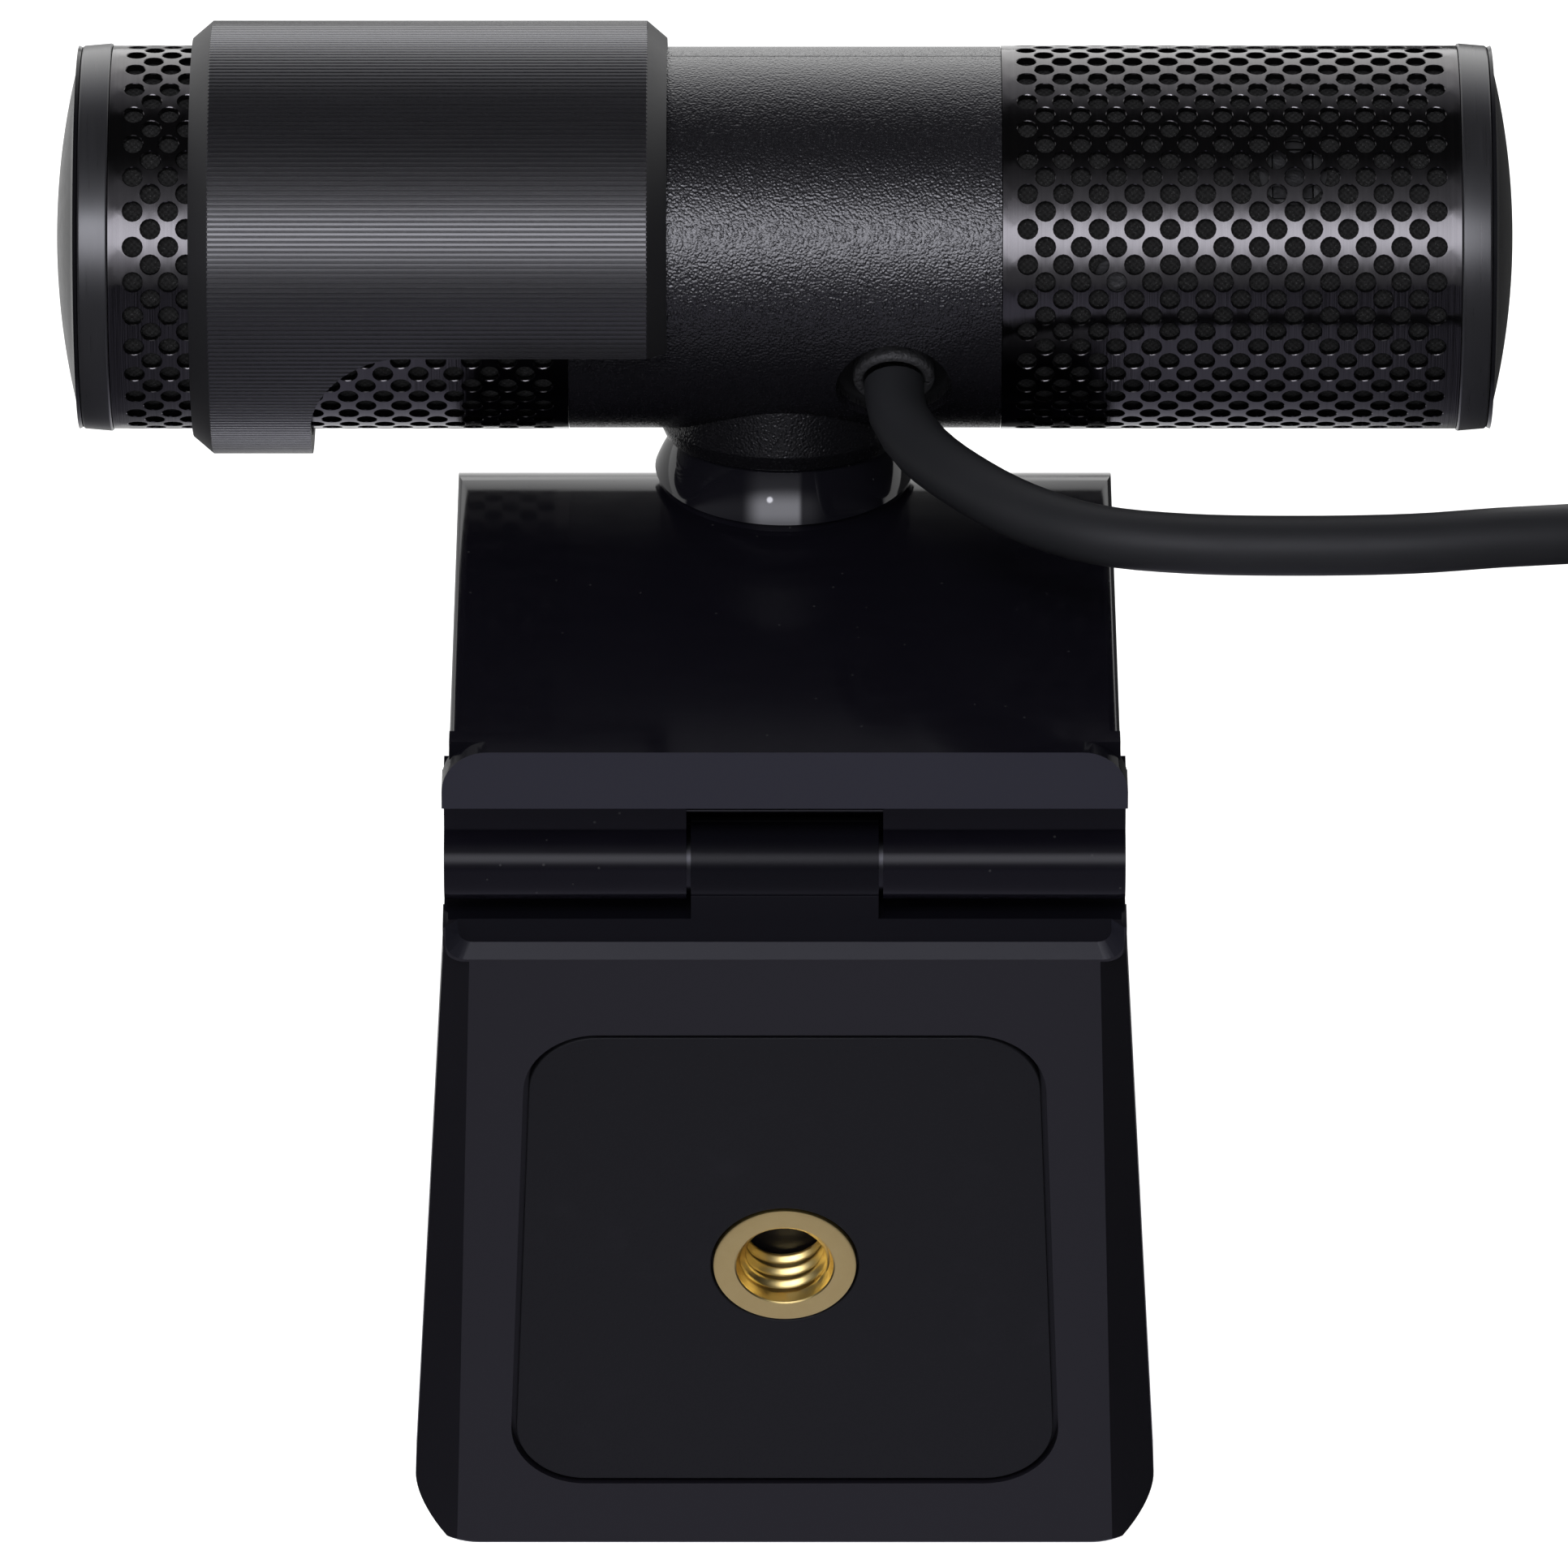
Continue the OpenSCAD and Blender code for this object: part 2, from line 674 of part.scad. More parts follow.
// thin plastic liner that turns with the camera's heading, between dome and cup
module friction_liner() {
  color("white") at_ball() difference() {
    sphere(r = ball_r + liner_t + ball_fit, $fn = 120);
    sphere(r = ball_r + ball_fit, $fn = 120);
    rod_z(opening_r + 0.15, -2 * ball_r, 2 * ball_r);
    rod_z(2 * ball_r, -2 * ball_r, 0);
    difference() {
      rod_z(2 * ball_r, -2 * ball_r, 2 * ball_r);
      rod_z(neck_r - 1.9, -3 * ball_r, 3 * ball_r);
    }
  }
}

module neck_cup() {
  color([0.11, 0.11, 0.12]) on_neck() difference() {
    union() {
      difference() {
        rod_z(neck_r, rim_h - 1, axis_rise - tube_r / 2);
        translate([0, 0, axis_rise]) rod_x(tube_r, -neck_r - 1, neck_r + 1);
      }
      rod_z(stem_r, rim_h - 1, stem_top);
      rod_z(3.5, stem_top - eps, boss_top);
    }
    sphere(r = cup_r, $fn = 120);
    rod_z(clamp_shank_r, 0, boss_top + 1);
  }
}

module clamp_screw() {
  color("silver") on_neck() {
    rod_z(clamp_head_r, clamp_head_z, clamp_head_z + clamp_head_t);
    rod_z(clamp_shank_r, clamp_head_z + clamp_head_t, boss_top - 0.4);
  }
}

// two disc springs, set mouth to mouth
module clamp_springs() {
  base = clamp_head_z + clamp_head_t;
  hole = clamp_shank_r + 0.15;
  color("silver") on_neck() for (i = [0:spring_count - 1])
    translate([0, 0, base + i * spring_rise]) rotate_extrude()
      polygon(i % 2 == 0
        ? [[hole, spring_rise - spring_t], [2.6, 0], [2.6, spring_t], [hole, spring_rise]]
        : [[hole, 0], [2.6, spring_rise - spring_t], [2.6, spring_rise], [hole, spring_t]]);
}

module clamp_washer() {
  color([0.85, 0.85, 0.82]) on_neck() difference() {
    intersection() {
      sphere(r = inner_ball_r - 0.06, $fn = 120);
      rod_z(clamp_washer_r, clamp_washer_z, inner_ball_r);
    }
    rod_z(clamp_shank_r + 0.15, 0, ball_r);
  }
}

// ---- camera tube ----

// the window, cable and neck openings of the middle shell
module shell_openings() {
  rod_y(window_r + 0.08, 0, tube_r + 1);
  translate([0, 0, -axis_rise]) rod_z(stem_r + seat_gap, 0, axis_rise);
  at_exit() rod_z(recess_r, recess_floor, tube_r + 3);
  at_exit() rod_z(grommet_r, 0, tube_r + 3);
  translate([10.2, 0, 0]) rod_y(0.7, 0, tube_r + 1);
}

// one half of the middle shell; side is 1 for the front and -1 for the rear
module half_shell_body(side) {
  seam = 0.04;
  intersection() {
    difference() {
      tube_x(tube_r, shell_in, -half_shell, half_shell);
      shell_openings();
    }
    translate([-half_shell - 1, side > 0 ? seam : -tube_r - 1 - seam, -tube_r - 1])
      cube([shell_len + 2, tube_r + 1, 2 * tube_r + 2]);
  }
}

module shell_rear() {
  color([0.13, 0.13, 0.14]) in_head() {
    half_shell_body(-1);
    // cup of the cable's recess, inside the shell
    difference() {
      at_exit() rod_z(recess_r + 0.8, recess_floor - 0.8, tube_r - 0.9);
      at_exit() rod_z(recess_r, recess_floor, tube_r + 1);
      at_exit() rod_z(grommet_r, 0, tube_r);
      difference() {
        rod_x(2 * tube_r, -1, 20);
        rod_x(tube_r - 0.5, -2, 21);
      }
    }
  }
}

module shell_front() {
  color([0.13, 0.13, 0.14]) in_head() half_shell_body(1);
}

module grille(side) {
  color([0.3, 0.3, 0.32]) in_head() mirror([side < 0 ? 1 : 0, 0, 0])
    tube_x(tube_r, grille_in, half_shell + seat_gap, grille_end - seat_gap);
}

module grille_left() {
  grille(-1);
}

module grille_right() {
  grille(1);
}

module cloth(side) {
  color([0.05, 0.05, 0.05]) in_head() mirror([side < 0 ? 1 : 0, 0, 0])
    tube_x(cloth_out, cloth_in, half_shell + 0.4, grille_end - 0.4);
}

module cloth_left() {
  cloth(-1);
}

module cloth_right() {
  cloth(1);
}

// satin ring between the grille and the cap, with a small bead
module trim_ring(side) {
  color([0.75, 0.75, 0.77]) in_head() mirror([side < 0 ? 1 : 0, 0, 0])
    translate([grille_end, 0, 0]) rotate([0, 90, 0]) rotate_extrude() polygon([
      [chassis_r + seat_gap, 0], [rim_r - 0.15, 0], [rim_r, 0.15], [rim_r, trim_w - 0.15],
      [rim_r - 0.15, trim_w], [chassis_r + seat_gap, trim_w]
    ]);
}

module trim_ring_left() {
  trim_ring(-1);
}

module trim_ring_right() {
  trim_ring(1);
}

// domed cap with a spigot that plugs into the chassis
module end_cap(side) {
  color([0.05, 0.05, 0.06]) in_head() mirror([side < 0 ? 1 : 0, 0, 0])
    translate([half_len, 0, 0]) rotate([0, 90, 0]) rotate_extrude() difference() {
      union() {
        intersection() {
          translate([0, cap_rise - cap_sphere_r]) circle(r = cap_sphere_r, $fn = 720);
          square([rim_r, cap_rise]);
        }
        translate([0, -3]) square([spigot_r, 3 + eps]);
      }
      translate([-1, -4]) square([spigot_r - 0.3, 4 + cap_rise - cap_wall]);
    }
}

module end_cap_left() {
  end_cap(-1);
}

module end_cap_right() {
  end_cap(1);
}

// inner tube with sound windows, board rails and the lens seat
module chassis() {
  window_len = grille_end - half_shell - 9;
  color([0.16, 0.16, 0.17]) in_head() difference() {
    union() {
      tube_x(chassis_r, chassis_in, half_shell + 0.4, half_len);
      mirror([1, 0, 0]) tube_x(chassis_r, chassis_in, half_shell + 0.4, half_len);
      tube_x(waist_r, chassis_in, -half_shell - 0.4 - eps, half_shell + 0.4 + eps);
      // seat of the lens flange
      intersection() {
        rod_y(window_r + 1.2, boss_back, tube_r);
        rod_x(chassis_in + 0.2, -window_r - 2, window_r + 2);
      }
      // rails that carry the main board
      for (side = [0, 1], up = [0, 1]) mirror([side, 0, 0]) mirror([0, 0, up])
        intersection() {
          translate([half_shell + 1, main_y - board_t - 1.4, board_half - 1.2])
            cube([board_len / 2 - half_shell - 2, 1.35, 5]);
          rod_x(chassis_in + 0.2, 0, half_len);
        }
    }
    rod_y(window_r + 0.08, bezel_back, tube_r + 1);
    rod_y(barrel_r + 0.6, 0, tube_r + 1);
    translate([0, 0, -axis_rise]) rod_z(stem_r + seat_gap, 0, axis_rise);
    at_exit() rod_z(recess_r + 0.9, chassis_in - 2, tube_r + 1);
    translate([10.2, 0, 0]) rod_y(0.7, 0, tube_r + 1);
    // sound windows round both grilles
    for (side = [0, 1], turn = [20, 140, 260]) mirror([side, 0, 0])
      rotate([turn, 0, 0]) translate([half_shell + 4.5, -3.5, 0])
        cube([window_len, 7, tube_r + 1]);
    // pockets for the microphones
    for (place = mic_places) at_rear(place[0], place[1])
      translate([-mic_size[0] / 2 - 0.1, -mic_size[1] / 2 - 0.1, mic_floor])
        cube([mic_size[0] + 0.2, mic_size[1] + 0.2, 4]);
  }
}

module lens_barrel() {
  color([0.08, 0.08, 0.09]) in_head() difference() {
    union() {
      rod_y(barrel_r + 0.5, sensor_y, boss_back - lens_flange_t);
      rod_y(lens_flange_r, boss_back - lens_flange_t, boss_back);
      rod_y(barrel_r, boss_back, bezel_back + 0.8);
    }
    rod_y(lens_r, boss_back, bezel_back + 3);
    rod_y(lens_r - 1, sensor_y + 1.5, boss_back + 1);
    rod_y(lens_r + 0.7, bezel_back + 0.3, bezel_back + 3);
  }
}

// front lens: a bulging disc that drops into the barrel's mouth
module lens_glass() {
  bulge_r = 7;
  thick = bezel_back + 0.2 - boss_back;
  color([0.2, 0.25, 0.35]) in_head() intersection() {
    rod_y(lens_r - fit, boss_back, bezel_back + 3);
    translate([0, boss_back + thick - bulge_r + 0.4, 0]) sphere(r = bulge_r, $fn = 120);
  }
}

module lens_bezel() {
  color([0.08, 0.08, 0.09]) in_head() difference() {
    rod_y(window_r, bezel_back, window_front - window_t);
    rod_y(barrel_r + 0.5, bezel_back - 1, window_front);
  }
}

module lens_window() {
  color([0.03, 0.03, 0.04]) in_head() rod_y(window_r, window_front - window_t, window_front);
}

module sensor_board() {
  color([0.05, 0.25, 0.12]) in_head() union() {
    translate([-sensor_size / 2, sensor_y - board_t, -sensor_low])
      cube([sensor_size, board_t, sensor_low + sensor_size / 2]);
    // board-to-board connector
    translate([-4, main_y, 3.4]) cube([8, sensor_y - board_t - main_y, 2.2]);
  }
}

module main_board() {
  notch_w = 2 * stem_r + 1;
  color([0.05, 0.25, 0.12]) in_head() union() {
    difference() {
      translate([-board_len / 2, main_y - board_t, -board_half])
        cube([board_len, board_t, 2 * board_half]);
      // room for the neck's stem
      translate([-notch_w / 2, main_y - 2 * board_t, -axis_rise])
        cube([notch_w, 3 * board_t, stem_top + 0.8]);
      board_screw_places() rod_y(0.9, main_y - 2 * board_t, main_y + 1);
    }
    // image processor, memory and connectors
    translate([18, main_y, -3.5]) cube([8, 1.2, 8]);
    translate([29, main_y, -2.5]) cube([6, 1, 5]);
    translate([-27, main_y, -3]) cube([7, 1, 6]);
    translate([-36, main_y, -2]) cube([4, 2.4, 4]);
  }
}

module board_screw_places() {
  for (side = [-1, 1], up = [-1, 1])
    translate([side * (board_len / 2 - 4), 0, up * (board_half - 1.1)]) children();
}

module board_screws() {
  color("silver") in_head() board_screw_places() {
    rod_y(0.85, main_y - board_t - 0.05, main_y);
    rod_y(1.05, main_y, main_y + 0.6);
  }
}

module microphones() {
  color([0.7, 0.65, 0.4]) in_head() for (place = mic_places) at_rear(place[0], place[1])
    translate([-mic_size[0] / 2, -mic_size[1] / 2, mic_floor])
      cube(mic_size);
}

// light pipe beside the lens
module status_led() {
  color([0.9, 0.9, 0.95]) in_head() translate([10.2, 0, 0]) intersection() {
    rod_y(0.65, chassis_in - 5, tube_r);
    translate([-10.2, 0, 0]) rod_x(tube_r - 0.05, 9, 12);
  }
}

module cable_grommet() {
  color([0.07, 0.07, 0.07]) in_head() at_exit() difference() {
    union() {
      rod_z(grommet_r - fit, recess_floor - 2.2, recess_floor + 1.3);
      rod_z(grommet_r + 0.7, recess_floor - 2.2, recess_floor - 0.9);
    }
    rod_z(cable_d / 2, 0, tube_r + 1);
  }
}

// ---- privacy sleeve ----

// the slot that lets the sleeve pass over the neck and the cable, open to the right
module sleeve_slot() {
  w = sleeve_len - sleeve_ring;
  drop = 2 * tube_r;
  facing(-2 * tube_r, 2 * tube_r) translate([-sleeve_rest - w, -slot_drop - drop]) {
    square([w + 5, drop - slot_corner_r]);
    translate([slot_corner_r, 0]) square([w + 5 - slot_corner_r, drop]);
    translate([slot_corner_r, drop - slot_corner_r]) circle(r = slot_corner_r);
  }
}

module privacy_sleeve() {
  color([0.16, 0.16, 0.17]) in_head() difference() {
    translate([-sleeve_end, 0, 0]) rotate([0, 90, 0]) rotate_extrude() polygon([
      [sleeve_in, 0], [sleeve_out - sleeve_wall + 0.1, 0], [sleeve_out, sleeve_chamfer],
      [sleeve_out, sleeve_len - sleeve_chamfer], [sleeve_out - sleeve_wall + 0.1, sleeve_len],
      [sleeve_in, sleeve_len]
    ]);
    sleeve_slot();
  }
}

// two felt strips that slide on the tube: a closed one and an open one
module sleeve_felt() {
  color([0.05, 0.05, 0.05]) in_head() {
    tube_x(sleeve_in - fit, felt_in, -sleeve_end + 1.2, -sleeve_end + 1.2 + felt_w);
    difference() {
      tube_x(sleeve_in - fit, felt_in, -sleeve_rest - 1.2 - felt_w, -sleeve_rest - 1.2);
      sleeve_slot();
    }
  }
}

// ---- cable ----

function unit(v) = v / norm(v);
function carry(t, u) = unit(u - t * (u * t));
function sides_of(tangents, i, u) =
  i == len(tangents) ? [] :
  let (v = carry(tangents[i], u)) concat([v], sides_of(tangents, i + 1, v));

// a round tube swept along a list of points
module swept_tube(points, r, sides) {
  n = len(points);
  tangents = [
    for (i = [0:n - 1]) unit(points[min(i + 1, n - 1)] - points[max(i - 1, 0)])
  ];
  across_list = sides_of(tangents, 0, [1, 0, 0.1]);
  ring = [
    for (i = [0:n - 1], j = [0:sides - 1])
      let (u = across_list[i], v = cross(tangents[i], u), a = 360 * j / sides)
      points[i] + r * (cos(a) * u + sin(a) * v)
  ];
  skin = [
    for (i = [0:n - 2], j = [0:sides - 1])
      [i * sides + j, (i + 1) * sides + j,
       (i + 1) * sides + (j + 1) % sides, i * sides + (j + 1) % sides]
  ];
  start = [for (j = [0:sides - 1]) j];
  end = [for (j = [sides - 1:-1:0]) (n - 1) * sides + j];
  polyhedron(points = ring, faces = concat([start], [end], skin), convexity = 6);
}

module cable_lead() {
  color([0.08, 0.08, 0.08]) swept_tube(lead_points, cable_d / 2, 10);
}

module cable_tail() {
  color([0.08, 0.08, 0.08]) translate([tail_x, tail_y, plug_top])
    cylinder(d = cable_d, h = tail_top - plug_top);
}

module cable_coil() {
  color([0.08, 0.08, 0.08]) translate(coil_at) rotate([0, 90, 0]) rotate_extrude()
    translate([coil_r, 0]) rounded_rect(bundle_w, bundle_w, bundle_corner_r);
}

// hook-and-loop strap round the coil, beside the place where the lead arrives
module cable_tie() {
  hole = bundle_w + 2 * seat_gap;
  color([0.05, 0.05, 0.05]) translate(coil_at) rotate([-tie_turn, 0, 0]) intersection() {
    rotate([0, 90, 0]) rotate_extrude() translate([coil_r, 0]) difference() {
      rounded_rect(hole + 2 * tie_t, hole + 2 * tie_t, bundle_corner_r + tie_t);
      rounded_rect(hole, hole, bundle_corner_r);
    }
    translate([-bundle_w, -tie_w / 2, 0]) cube([2 * bundle_w, tie_w, 2 * coil_r]);
  }
}

module usb_overmould() {
  neck_len = 4;
  color([0.08, 0.08, 0.08]) translate([tail_x, tail_y, plug_top - overmould_len]) {
    linear_extrude(overmould_len - neck_len) rounded_rect(15.6, 8.2, 2);
    rod_z(3.2, overmould_len - neck_len - eps, overmould_len);
  }
}

module usb_shell() {
  color("silver") translate([tail_x, tail_y, plug_top - overmould_len - usb_len])
    linear_extrude(usb_len) difference() {
      square([usb_w, usb_h], center = true);
      square([usb_w - 2 * usb_wall, usb_h - 2 * usb_wall], center = true);
    }
}

module usb_tongue() {
  color("white") translate([tail_x, tail_y - usb_h / 2 + usb_wall + 0.9,
                            plug_top - overmould_len - usb_len + 0.6])
    linear_extrude(usb_len - 0.6) square([usb_w - 2 * usb_wall - 0.1, 1.7], center = true);
}

// ---- the part ----
top_bracket();
lip_pad();
rest_pad();
hinge_pin();
hinge_washers();
ball_dome();
dome_screws();
leg_shell();
leg_inner_cover();
leg_grip_pad();
tripod_pad();
thread_insert();
leg_screws();
friction_liner();
shell_rear();
shell_front();
neck_cup();
grille_left();
grille_right();
cloth_left();
cloth_right();
trim_ring_left();
trim_ring_right();
end_cap_left();
end_cap_right();
chassis();
lens_barrel();
lens_glass();
lens_bezel();
lens_window();
sensor_board();
main_board();
board_screws();
microphones();
status_led();
cable_grommet();
clamp_screw();
clamp_springs();
clamp_washer();
privacy_sleeve();
sleeve_felt();
cable_lead();
cable_coil();
cable_tie();
cable_tail();
usb_overmould();
usb_shell();
usb_tongue();
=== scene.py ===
# %% [markdown]
# # A tube-shaped webcam on a fold-out monitor clip
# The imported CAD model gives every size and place. This lesson only adds looks to it: finer
# meshes where the finish shows, and a material for each piece. The scene is in metres, in the
# CAD's own frame, with +X along the camera tube, +Y where the lens looks and +Z up. Sizes are
# written in mm and multiplied by MM.

# %% Load the frame
import json
import math

import bmesh
import bpy
from mathutils import Matrix, Vector, noise


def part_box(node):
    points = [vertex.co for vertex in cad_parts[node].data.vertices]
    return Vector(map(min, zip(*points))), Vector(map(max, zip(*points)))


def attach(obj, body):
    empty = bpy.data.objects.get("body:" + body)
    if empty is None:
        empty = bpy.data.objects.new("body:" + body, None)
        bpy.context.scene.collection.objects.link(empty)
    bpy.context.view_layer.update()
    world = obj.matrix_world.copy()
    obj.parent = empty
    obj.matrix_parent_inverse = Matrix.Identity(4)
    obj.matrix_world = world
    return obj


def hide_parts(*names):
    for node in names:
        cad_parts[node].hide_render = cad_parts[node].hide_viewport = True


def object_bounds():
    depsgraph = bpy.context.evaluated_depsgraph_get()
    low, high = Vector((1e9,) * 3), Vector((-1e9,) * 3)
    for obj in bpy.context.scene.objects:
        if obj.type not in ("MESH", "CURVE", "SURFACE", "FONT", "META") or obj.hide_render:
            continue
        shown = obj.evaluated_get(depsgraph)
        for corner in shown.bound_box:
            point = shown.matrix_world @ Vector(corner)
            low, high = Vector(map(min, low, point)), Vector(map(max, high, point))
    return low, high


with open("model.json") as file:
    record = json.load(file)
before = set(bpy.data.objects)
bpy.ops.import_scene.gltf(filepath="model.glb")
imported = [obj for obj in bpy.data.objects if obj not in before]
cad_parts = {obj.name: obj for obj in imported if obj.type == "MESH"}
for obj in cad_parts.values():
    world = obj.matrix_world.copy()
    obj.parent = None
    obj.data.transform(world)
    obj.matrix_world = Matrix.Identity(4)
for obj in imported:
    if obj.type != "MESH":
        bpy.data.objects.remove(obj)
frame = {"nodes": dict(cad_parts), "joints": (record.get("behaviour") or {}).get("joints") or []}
cad_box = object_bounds()
MM = 0.001
scene = bpy.context.scene
print("CAD box, mm:", [[round(v / MM, 1) for v in corner] for corner in cad_box])

# %% [markdown]
# The head is pitched nose-down on its ball joint, so most of its pieces are easier to draw in a
# frame of its own: the origin on the tube's axis, X along the tube, Y straight out of the lens.
# Two CAD facts fix that frame: the ball's centre, from the tilt joint, and the middle of one
# trim ring's box, which lies on the axis. The leg gets a frame at its hinge in the same way.

# %% Places that the CAD gives
joints = {joint["name"]: joint for joint in frame["joints"]}
ball_centre = Vector(joints["tilt"]["pos_m"])
hinge = Vector(joints["leg_fold"]["pos_m"])


def middle(node):
    low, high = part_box(node)
    return (low + high) / 2


def size(node):
    low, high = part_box(node)
    return high - low


ring_middle = middle("trim_ring_right")
axis_middle = Vector((0, ring_middle.y, ring_middle.z))
rise = axis_middle - ball_centre
pitch = math.atan2(rise.y, rise.z)
HEAD = Matrix.Translation(axis_middle) @ Matrix.Rotation(-pitch, 4, "X")
print("head pitch", round(math.degrees(pitch), 2), "axis at mm", axis_middle / MM)
LEG_LEAN = math.radians(11)
LEG = Matrix.Translation(hinge) @ Matrix.Rotation(LEG_LEAN, 4, "X")
print("hinge at mm", hinge / MM)

# %% [markdown]
# ## Camera
# The webcam is seen from behind and from above, through a long lens that keeps its edges
# almost parallel. A camera looks along its own -Z, so aiming it is one quaternion.

# %% Camera
CAMERA_ELEVATION = math.radians(28.6)
CAMERA_DISTANCE = 1.2
CAMERA_LENS = 407.0
AIM = Vector((-0.00005, 0.00693, -0.0153))
camera_data = bpy.data.cameras.new("camera")
camera_data.lens = CAMERA_LENS
camera_data.sensor_width = 36.0
camera_data.clip_start = 0.05
camera_data.clip_end = 20.0
camera = bpy.data.objects.new("camera", camera_data)
to_camera = Vector((0, -math.cos(CAMERA_ELEVATION), math.sin(CAMERA_ELEVATION)))
camera.location = AIM + CAMERA_DISTANCE * to_camera
camera.rotation_euler = to_camera.to_track_quat("Z", "Y").to_euler()
scene.collection.objects.link(camera)
scene.camera = camera
scene.view_settings.view_transform = "Standard"
print("camera at", [round(v, 3) for v in camera.location])

# %% [markdown]
# ## Cable
# A soft round cable, 4 mm thick and 1.3 m long, leaves the tube under its rear side, sweeps to
# the right over the clip and hangs down beside it, where the rest of it is wound into a neat
# coil. The route starts with the same points as the CAD's lead. The coil has nine lanes, three
# side by side in each of three layers. The cable spends one turn in a lane, then steps to the
# next one. Each step takes an angle of its own, and a later step takes an earlier angle, so
# the lane that it enters is always free: the cable never passes through itself.

# %% Cable route
CABLE_D = 4 * MM
LEAD = [
    (7.3, 8.56, 14.4), (7.6, 6.16, 13.27), (9.2, 2.6, 12.5), (12, -1.8, 12.4),
    (15.8, -6.2, 12.4), (20.6, -9.4, 12.4), (26.6, -10.7, 12.4), (34, -11, 12.4),
    (41.5, -10.7, 12.4), (48.6, -9.5, 12.3), (55, -8, 11.6), (60.8, -6.6, 9.1),
    (65.2, -5.6, 4.6), (68.2, -5.1, -1),
]
COIL_MIDDLE = middle("cable_coil") / MM
COIL_R = 23.5
LANE_STEP = 4.1
LANES = [(1, 1), (0, 1), (-1, 1), (-1, 0), (-1, -1), (0, -1), (0, 0), (1, 0), (1, -1)]
STEP_STARTS = [320, 320, 280, 280, 240, 200, 160, 120]
STEP_WIDTH = 40
LANDING, LEAVING = 17, 2880 + 90


def smooth_step(t):
    t = min(max(t, 0.0), 1.0)
    return t * t * (3 - 2 * t)


def coil_point(turned):
    """A point of the winding, in mm, at an angle in degrees from the top toward -Y."""
    layer, side = LANES[0]
    for k, start in enumerate(STEP_STARTS):
        share = smooth_step((turned - 360 * k - start) / STEP_WIDTH)
        layer += share * (LANES[k + 1][0] - LANES[k][0])
        side += share * (LANES[k + 1][1] - LANES[k][1])
    radius = COIL_R + LANE_STEP * layer
    a = math.radians(turned)
    return COIL_MIDDLE + Vector((side * LANE_STEP, -radius * math.sin(a), radius * math.cos(a)))


TAIL_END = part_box("usb_overmould")[1].z / MM - 0.6
tail_x, tail_y = middle("usb_overmould").x / MM, middle("usb_overmould").y / MM
winding = [coil_point(turned) for turned in range(LANDING, LEAVING + 1, 8)]
route_mm = [Vector(p) for p in LEAD]
route_mm += [Vector((70.3, -5.2, -7.0)), Vector((71.6, -6.8, -11.8))]
route_mm += winding
route_mm += [Vector((tail_x, tail_y, z)) for z in (-46.0, -51.0, -57.0, TAIL_END)]


def curved_length(points):
    return sum((b - a).length for a, b in zip(points, points[1:]))


print("cable route:", len(route_mm), "points,", round(curved_length(route_mm) / 1000, 3), "m")

# %% [markdown]
# A swept mesh tube keeps exact control of the cable's skin. The route is first resampled along
# a Catmull-Rom spline, so that it bends smoothly between the points. At each point a ring of
# vertices is placed square to the path. The ring is carried from one point to the next by the
# smallest turn, so the tube never twists. The length along the path goes into a UV map for the
# material's mould lines and grain.

# %% Sweep a tube along a path
def spline(points, step):
    """Points on a Catmull-Rom spline, about `step` apart."""
    made = []
    for i in range(len(points) - 1):
        p0, p1 = points[max(i - 1, 0)], points[i]
        p2, p3 = points[i + 1], points[min(i + 2, len(points) - 1)]
        count = max(1, round((p2 - p1).length / step))
        for j in range(count):
            t = j / count
            made.append(0.5 * (2 * p1 + (p2 - p0) * t + (2 * p0 - 5 * p1 + 4 * p2 - p3) * t * t
                               + (3 * p1 - p0 - 3 * p2 + p3) * t * t * t))
    return made + [points[-1]]


def new_object(name, mesh):
    made = bpy.data.objects.new(name, mesh)
    scene.collection.objects.link(made)
    return made


def as_it_stands(name, bm):
    """A new object from a bmesh."""
    mesh = bpy.data.meshes.new(name)
    bm.to_mesh(mesh)
    bm.free()
    return new_object(name, mesh)


def smoothed(made, sharp_angle=35.0):
    """Smooth shading, with edges over the angle kept sharp."""
    made.data.shade_smooth()
    made.data.set_sharp_from_angle(angle=math.radians(sharp_angle))
    return made


def from_bmesh(name, bm, sharp_angle=35.0):
    """A new smooth object from a bmesh, with its normals outward."""
    bmesh.ops.remove_doubles(bm, verts=bm.verts, dist=1e-7)
    bmesh.ops.recalc_face_normals(bm, faces=bm.faces)
    return smoothed(as_it_stands(name, bm), sharp_angle)


def turns(count):
    """The angles of even steps round a circle."""
    return [math.tau * k / count for k in range(count)]


def skin(bm, rings, wrap=False):
    """Faces between rings of vertices. One vertex alone is a pole; wrap joins last and first."""
    made = []
    for a, b in zip(rings, rings[1:] + rings[:wrap]):
        for k in range(max(len(a), len(b))):
            loop = dict.fromkeys((a[k % len(a)], a[(k + 1) % len(a)],
                                  b[(k + 1) % len(b)], b[k % len(b)]))
            if len(loop) > 2:
                made.append(bm.faces.new(list(loop)))
    return made


def close_ends(bm, rings):
    bm.faces.new(reversed(rings[0]))
    bm.faces.new(rings[-1])


